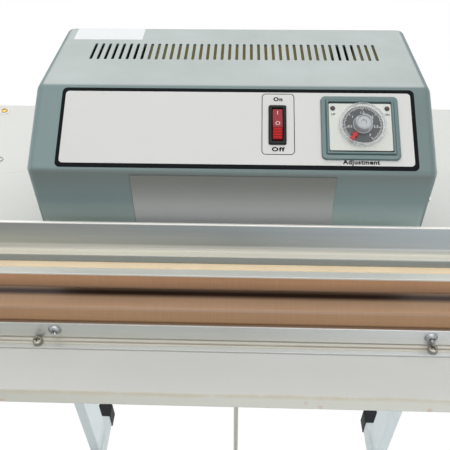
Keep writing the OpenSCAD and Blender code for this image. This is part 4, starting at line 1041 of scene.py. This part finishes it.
stand_in(copies(screw(8.8, 3.4, 0.6, False), places), "foot_screws", "base_screws")


def filled(node, name, radii, soft, n=3, body="frame", angle=35):
    """A plain bar that fills its node's box; the radii go round from its low front edge."""
    lo, hi = solid(node)
    corners = zip((lo.y, hi.y, hi.y, lo.y), (lo.z, lo.z, hi.z, hi.z), radii)
    stand_in(bar(fillet(list(corners), n), lo.x, hi.x, soft), name, node, body, angle)


filled("insulation_strip", "heat_strip", (0, 0, 0.2, 0.2), 0.1)
filled("heating_element", "ribbon", (0.1, 0.1, 0.1, 0.1), 0.05)
block = loft([[(x, y, z) for x, y in rect(11 - 2 * d, 14 - 2 * d, 1.2)]
              for d, z in ((0.2, 0), (0, 0.3), (0, 3.6), (0.4, 4))])
ends = [moved(me, shift(sx * 311.5, JAW_Y, LOWER_TOP + z))
        for sx in (-1, 1) for me, z in ((block.copy(), -0.4), (screw(7, 2.4), 3.6))]
stand_in(joined(ends), "end_blocks", "element_terminals")
low_z = solid("post_bushes")[0].z - TABLE_Z
bush = lathe([(6.06, low_z), (9.6, low_z), (10, low_z + 0.5), (10, 0), (13.6, 0), (14, 0.4), (14, 3.4),
              (13.4, 4), (7.0, 4), (6.06, 3.4), (6.06, low_z)], 64, OPEN)
stand_in(copies(bush, pair(POST_X, JAW_Y, TABLE_Z)), "bushes", "post_bushes")

# --- upper jaw
UJ_LO, UJ_HI = solid("upper_jaw")
WEB, FOOT_TOP = UJ_HI.y - 2.5, UJ_LO.z + 8.4
web_side = fillet([
    (UJ_HI.y, UJ_LO.z, 0.3), (UJ_HI.y, UJ_HI.z, 0.9), (WEB, UJ_HI.z, 0.7), (WEB, FOOT_TOP, 5.0),
    (UJ_LO.y, FOOT_TOP, 0.3), (UJ_LO.y, UJ_LO.z, 0.5)], 5)
stand_in(bar(web_side, -320, 320), "jaw_angle", "upper_jaw", "jaw", 25)
filled("backing_strip", "tan_strip", (0.1, 0.1, 0.1, 0.25), 0.2, 3, "jaw")
filled("nose_bar", "nose_rail", (0.2, 0.4, 0.4, 0.3), 0.3, 4, "jaw", 25)
lo, hi = solid("nose_bar")
NB_TOP, NB_LOW = hi.z, lo.z
lo, hi = solid("nose_rubber")
strip = fillet([(lo.y, hi.z, 0), (lo.y, lo.z, 4.6), (hi.y, lo.z, 4.6), (hi.y, hi.z, 0)], 6)
stand_in(bar(strip, lo.x, hi.x, 0.3), "rubber_nose", "nose_rubber", "jaw", 30)
nose = fillet([
    (JAW_Y - 7.1, NB_TOP - 1.7, 0.1), (JAW_Y - 7.1, NOSE_LOW, 5.2), (JAW_Y + 7.1, NOSE_LOW, 5.2),
    (JAW_Y + 7.1, NB_LOW, 0.1), (JAW_Y + 6.7, NB_LOW, 0.1), (JAW_Y + 6.7, NOSE_LOW + 0.5, 4.8),
    (JAW_Y - 6.7, NOSE_LOW + 0.5, 4.8), (JAW_Y - 6.7, NB_TOP - 1.7, 0.1)], 8)
up = stand_in(bar(nose, -wide, wide, 0.2, 150), "upper_cover", "upper_ptfe", "jaw", 40, even=False)


for side_name, sx in (("left", -1), ("right", 1)):
    lo, hi = solid("jaw_block_" + side_name)
    prof = fillet([(lo.y, lo.z, 1.2), (hi.y, lo.z, 1.0), (hi.y, hi.z, 3), (lo.y, hi.z - 8, 6)], 6)
    me = bar(prof, lo.x, hi.x, 0.7)
    hole = moved(peg(6.06, 0, 80, 48), shift(sx * POST_X, JAW_Y, lo.z - 5))
    stand_in(cut(me, hole), "end_block_" + side_name, "jaw_block_" + side_name, "jaw", 30)
lo, hi = solid("guide_posts")
post_side = [(0.01, lo.z), (5.4, lo.z), (6, lo.z + 0.8)] + thread(lo.z + 1.2, lo.z + 16, 1.0, 5.98, 5.55, 0.35)
post_side += [(6, lo.z + 17), (6, hi.z - 10)] + thread(hi.z - 9.5, hi.z - 2, 1.0, 5.98, 5.55, 0.35)
post_side += [(5.9, hi.z - 1), (5.0, hi.z), (0.01, hi.z)]
stand_in(copies(lathe(post_side, 48), pair(POST_X, JAW_Y, 0)), "posts", "guide_posts", "jaw", 30)
YK_LO, YK_HI = solid("yoke")
places = [shift(sx * POST_X, JAW_Y, z) for sx in (-1, 1) for z in (UJ_HI.z, YK_HI.z, YK_LO.z - 8)]
stand_in(copies(hex_piece(19, 8, 12.1), places), "nuts", "post_nuts", "jaw", 30)
lo, hi = solid("return_springs")
for i, sx in enumerate((-1, 1)):
    coil = moved(helix(8.6, 1.8, 8, lo.z, hi.z), shift(sx * POST_X, JAW_Y))
    coil = finish_mesh(coil, f"spring_{i}", SPRING, "frame", WORLD, 60, False)
    if i == 0:
        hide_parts("return_springs")
    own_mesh(coil)
me = moved(tube(20, 30, 2.4, 2, YK_HI.x - YK_LO.x), along_x(YK_LO.x, JAW_Y, (YK_LO.z + YK_HI.z) / 2))
drill = [copies(peg(6.06, 0, 40, 48), pair(POST_X, JAW_Y, YK_LO.z - 5)),
         moved(peg(2.56, 0, 40, 32), shift(0, JAW_Y, YK_LO.z - 5))]
stand_in(cut(me, joined(drill)), "yoke_tube", "yoke", "jaw", 30)

# --- pull rod
lo, hi = solid("pull_rod")
PIN_Z = lo.z + 7
rod = [(0.01, PIN_Z + 5), (2.5, PIN_Z + 5), (2.5, YK_LO.z - 16)]
rod += thread(YK_LO.z - 15, hi.z - 1.2, 0.9, 2.49, 2.2, 0.3) + [(2.0, hi.z), (0.01, hi.z)]
eye = moved(lathe([(0.01, -6.7), (6.6, -6.7), (7, -6.3), (7, 6.3), (6.6, 6.7), (0.01, 6.7)], 48), turn("Y", 90))
eye = cut(eye, moved(peg(3.06, -9, 9, 32), turn("Y", 90)))
neck = lathe([(0.01, 4), (4.2, 4), (3.6, 7), (2.9, 10), (2.5, 12), (0.01, 12)], 32)
rod = [moved(me, shift(0, JAW_Y, z)) for me, z in ((lathe(rod, 32), 0), (eye, PIN_Z), (neck, PIN_Z))]
stand_in(joined(rod), "rod", "pull_rod", "jaw", 30)
places = [shift(0, JAW_Y, YK_HI.z), shift(0, JAW_Y, YK_LO.z - 5)]
stand_in(copies(hex_piece(10, 5, 5.1), places), "rod_lock_nuts", "rod_nuts", "jaw", 30)
pin_side = [(0.01, -16), (4.6, -16), (5, -15.6), (5, -14.4), (4.6, -14), (3, -14), (3, 14), (4.6, 14),
            (5, 14.4), (5, 15.6), (4.6, 16), (0.01, 16)]
stand_in(moved(lathe(pin_side, 40), shift(0, JAW_Y, PIN_Z) @ turn("Y", 90)), "eye_pin", "rod_pin", "jaw", 30)
lo, hi = solid("switch_bracket")
prof = fillet([(JAW_Y - 8, lo.z, 0.3), (hi.y, lo.z, 2.6), (hi.y, hi.z, 0.3), (hi.y - 2, hi.z, 0.3),
               (hi.y - 2, lo.z + 2, 0.8), (JAW_Y - 8, lo.z + 2, 0.3)], 5)
stand_in(bar(prof, lo.x, hi.x, 0.3), "switch_angle", "switch_bracket", "frame", 30)
lo, hi = solid("microswitch")
case = loft([[(x, y, z) for x, y in rect(28 - 2 * d, 10 - 2 * d, 1.0)] for d, z in
             ((0.3, 0), (0, 0.3), (0, 6), (0.25, 6.2), (0, 6.4), (0, hi.z - lo.z - 0.3), (0.3, hi.z - lo.z))])
case = cut(case, peg(2.05, 8, 30, 32))
case = cut(case, copies(peg(1.5, -8, 8, 24), pair(10, 0, 3.4, turn("X", 90))))
stand_in(case, "switch_case", "microswitch", "frame", 30, at=shift((lo.x + hi.x) / 2, JAW_Y, lo.z))
lo, hi = solid("microswitch_plunger")
stand_in(moved(lathe([(0.01, lo.z), (2, lo.z), (2, hi.z - 0.5), (1.6, hi.z), (0.01, hi.z)], 32),
               shift((lo.x + hi.x) / 2, JAW_Y, 0)), "plunger_pin", "microswitch_plunger", "plunger", 30)

# --- pedal
REST_DEG = 9.5
ANG = radians(REST_DEG)
PEDAL = shift(0, PIV_Y, PIV_Z) @ turn("X", -REST_DEG)
PS = -ROD_ARM * cos(ANG) - STROKE / 2 * sin(ANG)
PV = -ROD_ARM * sin(ANG) + STROKE / 2 * cos(ANG)
arm = fillet([(-322, -10, 4), (11, -10, 8), (11, 10, 8), (-322, 10, 0.5)], 6)
lug = fillet([(PS - 10, PV - 10, 9), (PS + 12, PV - 10, 0), (PS + 12, PV + 8, 0), (PS - 10, PV + 10, 9)], 6)
parts = []
for sx in (-1, 1):
    for plate, near, far, soft, r, y, z in ((arm, 68, 73, 0.6, 5.05, 0, 0), (lug, 7, 11, 0.4, 3.6, PS, PV)):
        x0, x1 = sorted((sx * near, sx * far))
        hole = moved(peg(r, -2, 9, 48), shift(x0 - 1, y, z) @ turn("Y", 90))
        parts.append(cut(bar(plate, x0, x1, soft), hole))
tread = fillet([(-328, -2, 0.4), (-325, -2, 0.4), (-325, 10, 1.4), (-236, 10, 0.4), (-236, 13, 0.6),
                (-328, 13, 3.6)], 5)
parts.append(bar(tread, -75, 75, 0.6))
strap = fillet([(PS + 12, -10, 0.6), (PS + 18, -10, 0.6), (PS + 18, 10, 0.6), (PS + 12, 10, 0.6)], 3)
parts.append(bar(strap, -68, 68, 0.1))
stand_in(moved(joined(parts), PEDAL), "pedal_arms", "pedal_frame", "pedal", 30)
ridges = [(-322, 13.0, 0), (-322, 18.4, 0.8)]
pitch = 78 / 9
for i in range(9):
    y = -320 + i * pitch
    ridges += [(y, 19, 0.4), (y, 17, 0.3), (y + pitch / 2, 17, 0.3), (y + pitch / 2, 19, 0.5)]
ridges += [(-242, 18.6, 0.8), (-242, 13.0, 0)]
stand_in(moved(bar(fillet(ridges, 3), -70, 70, 1.0), PEDAL), "tread_pad", "pedal_pad", "pedal", 30)
shaft_side = [(0.01, -86), (7.2, -86), (8, -85.2), (8, -83.6), (7.6, -83), (5, -83), (5, 83), (7.6, 83),
              (8, 83.6), (8, 85.2), (7.2, 86), (0.01, 86)]
me = moved(lathe(shaft_side, 48), shift(0, PIV_Y, PIV_Z) @ turn("Y", 90))
stand_in(me, "pivot_shaft", "pedal_shaft", angle=30)

# --- floor, world and lamps
ground = bpy.data.meshes.new("floor")
ground.from_pydata([(-6, -6, 0), (6, -6, 0), (6, 6, 0), (-6, 6, 0)], [], [(0, 1, 2, 3)])
floor = new_object("floor", ground)


def backdrop_mix(tree, plain, white, share, out):
    """Camera, glossy and transmission rays see the white backdrop; the rest see the plain one."""
    def maths(op, a, b):
        n = tree.nodes.new("ShaderNodeMath")
        n.operation = op
        tree.links.new(a, n.inputs[0])
        if isinstance(b, float):
            n.inputs[1].default_value = b
        else:
            tree.links.new(b, n.inputs[1])
        return n.outputs[0]
    path = tree.nodes.new("ShaderNodeLightPath").outputs
    seen = maths("MAXIMUM", path["Is Camera Ray"], path["Is Glossy Ray"])
    seen = maths("MAXIMUM", seen, path["Is Transmission Ray"])
    mixer = tree.nodes.new("ShaderNodeMixShader")
    for i, socket in enumerate((maths("MULTIPLY", seen, share), plain, white)):
        tree.links.new(socket, mixer.inputs[i])
    tree.links.new(mixer.outputs[0], out)


paper = bpy.data.materials.new("floor")
paper.use_nodes = True
tree = paper.node_tree
bsdf = tree.nodes["Principled BSDF"]
bsdf.inputs["Base Color"].default_value = (0.82, 0.82, 0.82, 1)
bsdf.inputs["Roughness"].default_value = 0.9
glow = tree.nodes.new("ShaderNodeEmission")
glow.inputs["Strength"].default_value = 1.04
backdrop_mix(tree, bsdf.outputs[0], glow.outputs[0], 0.93, tree.nodes["Material Output"].inputs["Surface"])
ground.materials.append(paper)

scene.world = bpy.data.worlds.new("world")
scene.world.use_nodes = True
tree = scene.world.node_tree
sky = tree.nodes["Background"]
sky.inputs["Color"].default_value = (0.90, 0.97, 1.0, 1)
sky.inputs["Strength"].default_value = 0.36
white = tree.nodes.new("ShaderNodeBackground")
white.inputs["Color"].default_value = (1, 1, 1, 1)
backdrop_mix(tree, sky.outputs[0], white.outputs[0], 1.0, tree.nodes["World Output"].inputs["Surface"])

# name, place, aim and size in metres, power in watts
LAMPS = (
    ("overhead", (0, 0.3, 3.0), (0, 0, 0.8), (3.0, 2.4), 24),
    ("above_front", (0, -1.3, 2.8), (0, 0, 0.8), (2.4, 1.6), 24),
    ("rear", (-0.3, 1.7, 2.7), (0, 0.05, 0.8), (2.4, 1.8), 9),
    ("front", (0.6, -2.4, 1.3), (0, 0, 0.7), (1.6, 1.2), 5),
    ("low_right", (1.8, 0.4, 0.45), (-0.27, 0.1, 0.45), (1.0, 0.7), 10.5),
    ("low_left", (-1.8, 0.4, 0.45), (0.27, 0.1, 0.45), (1.0, 0.7), 6.8))
for name, at, aim, size, power in LAMPS:
    light = bpy.data.lights.new(name, "AREA")
    light.shape, light.energy = "RECTANGLE", power
    light.size, light.size_y = size
    ob = new_object(name, light)
    ob.location = at
    ob.rotation_mode = "QUATERNION"
    ob.rotation_quaternion = (Vector(aim) - Vector(at)).to_track_quat("-Z", "Y")
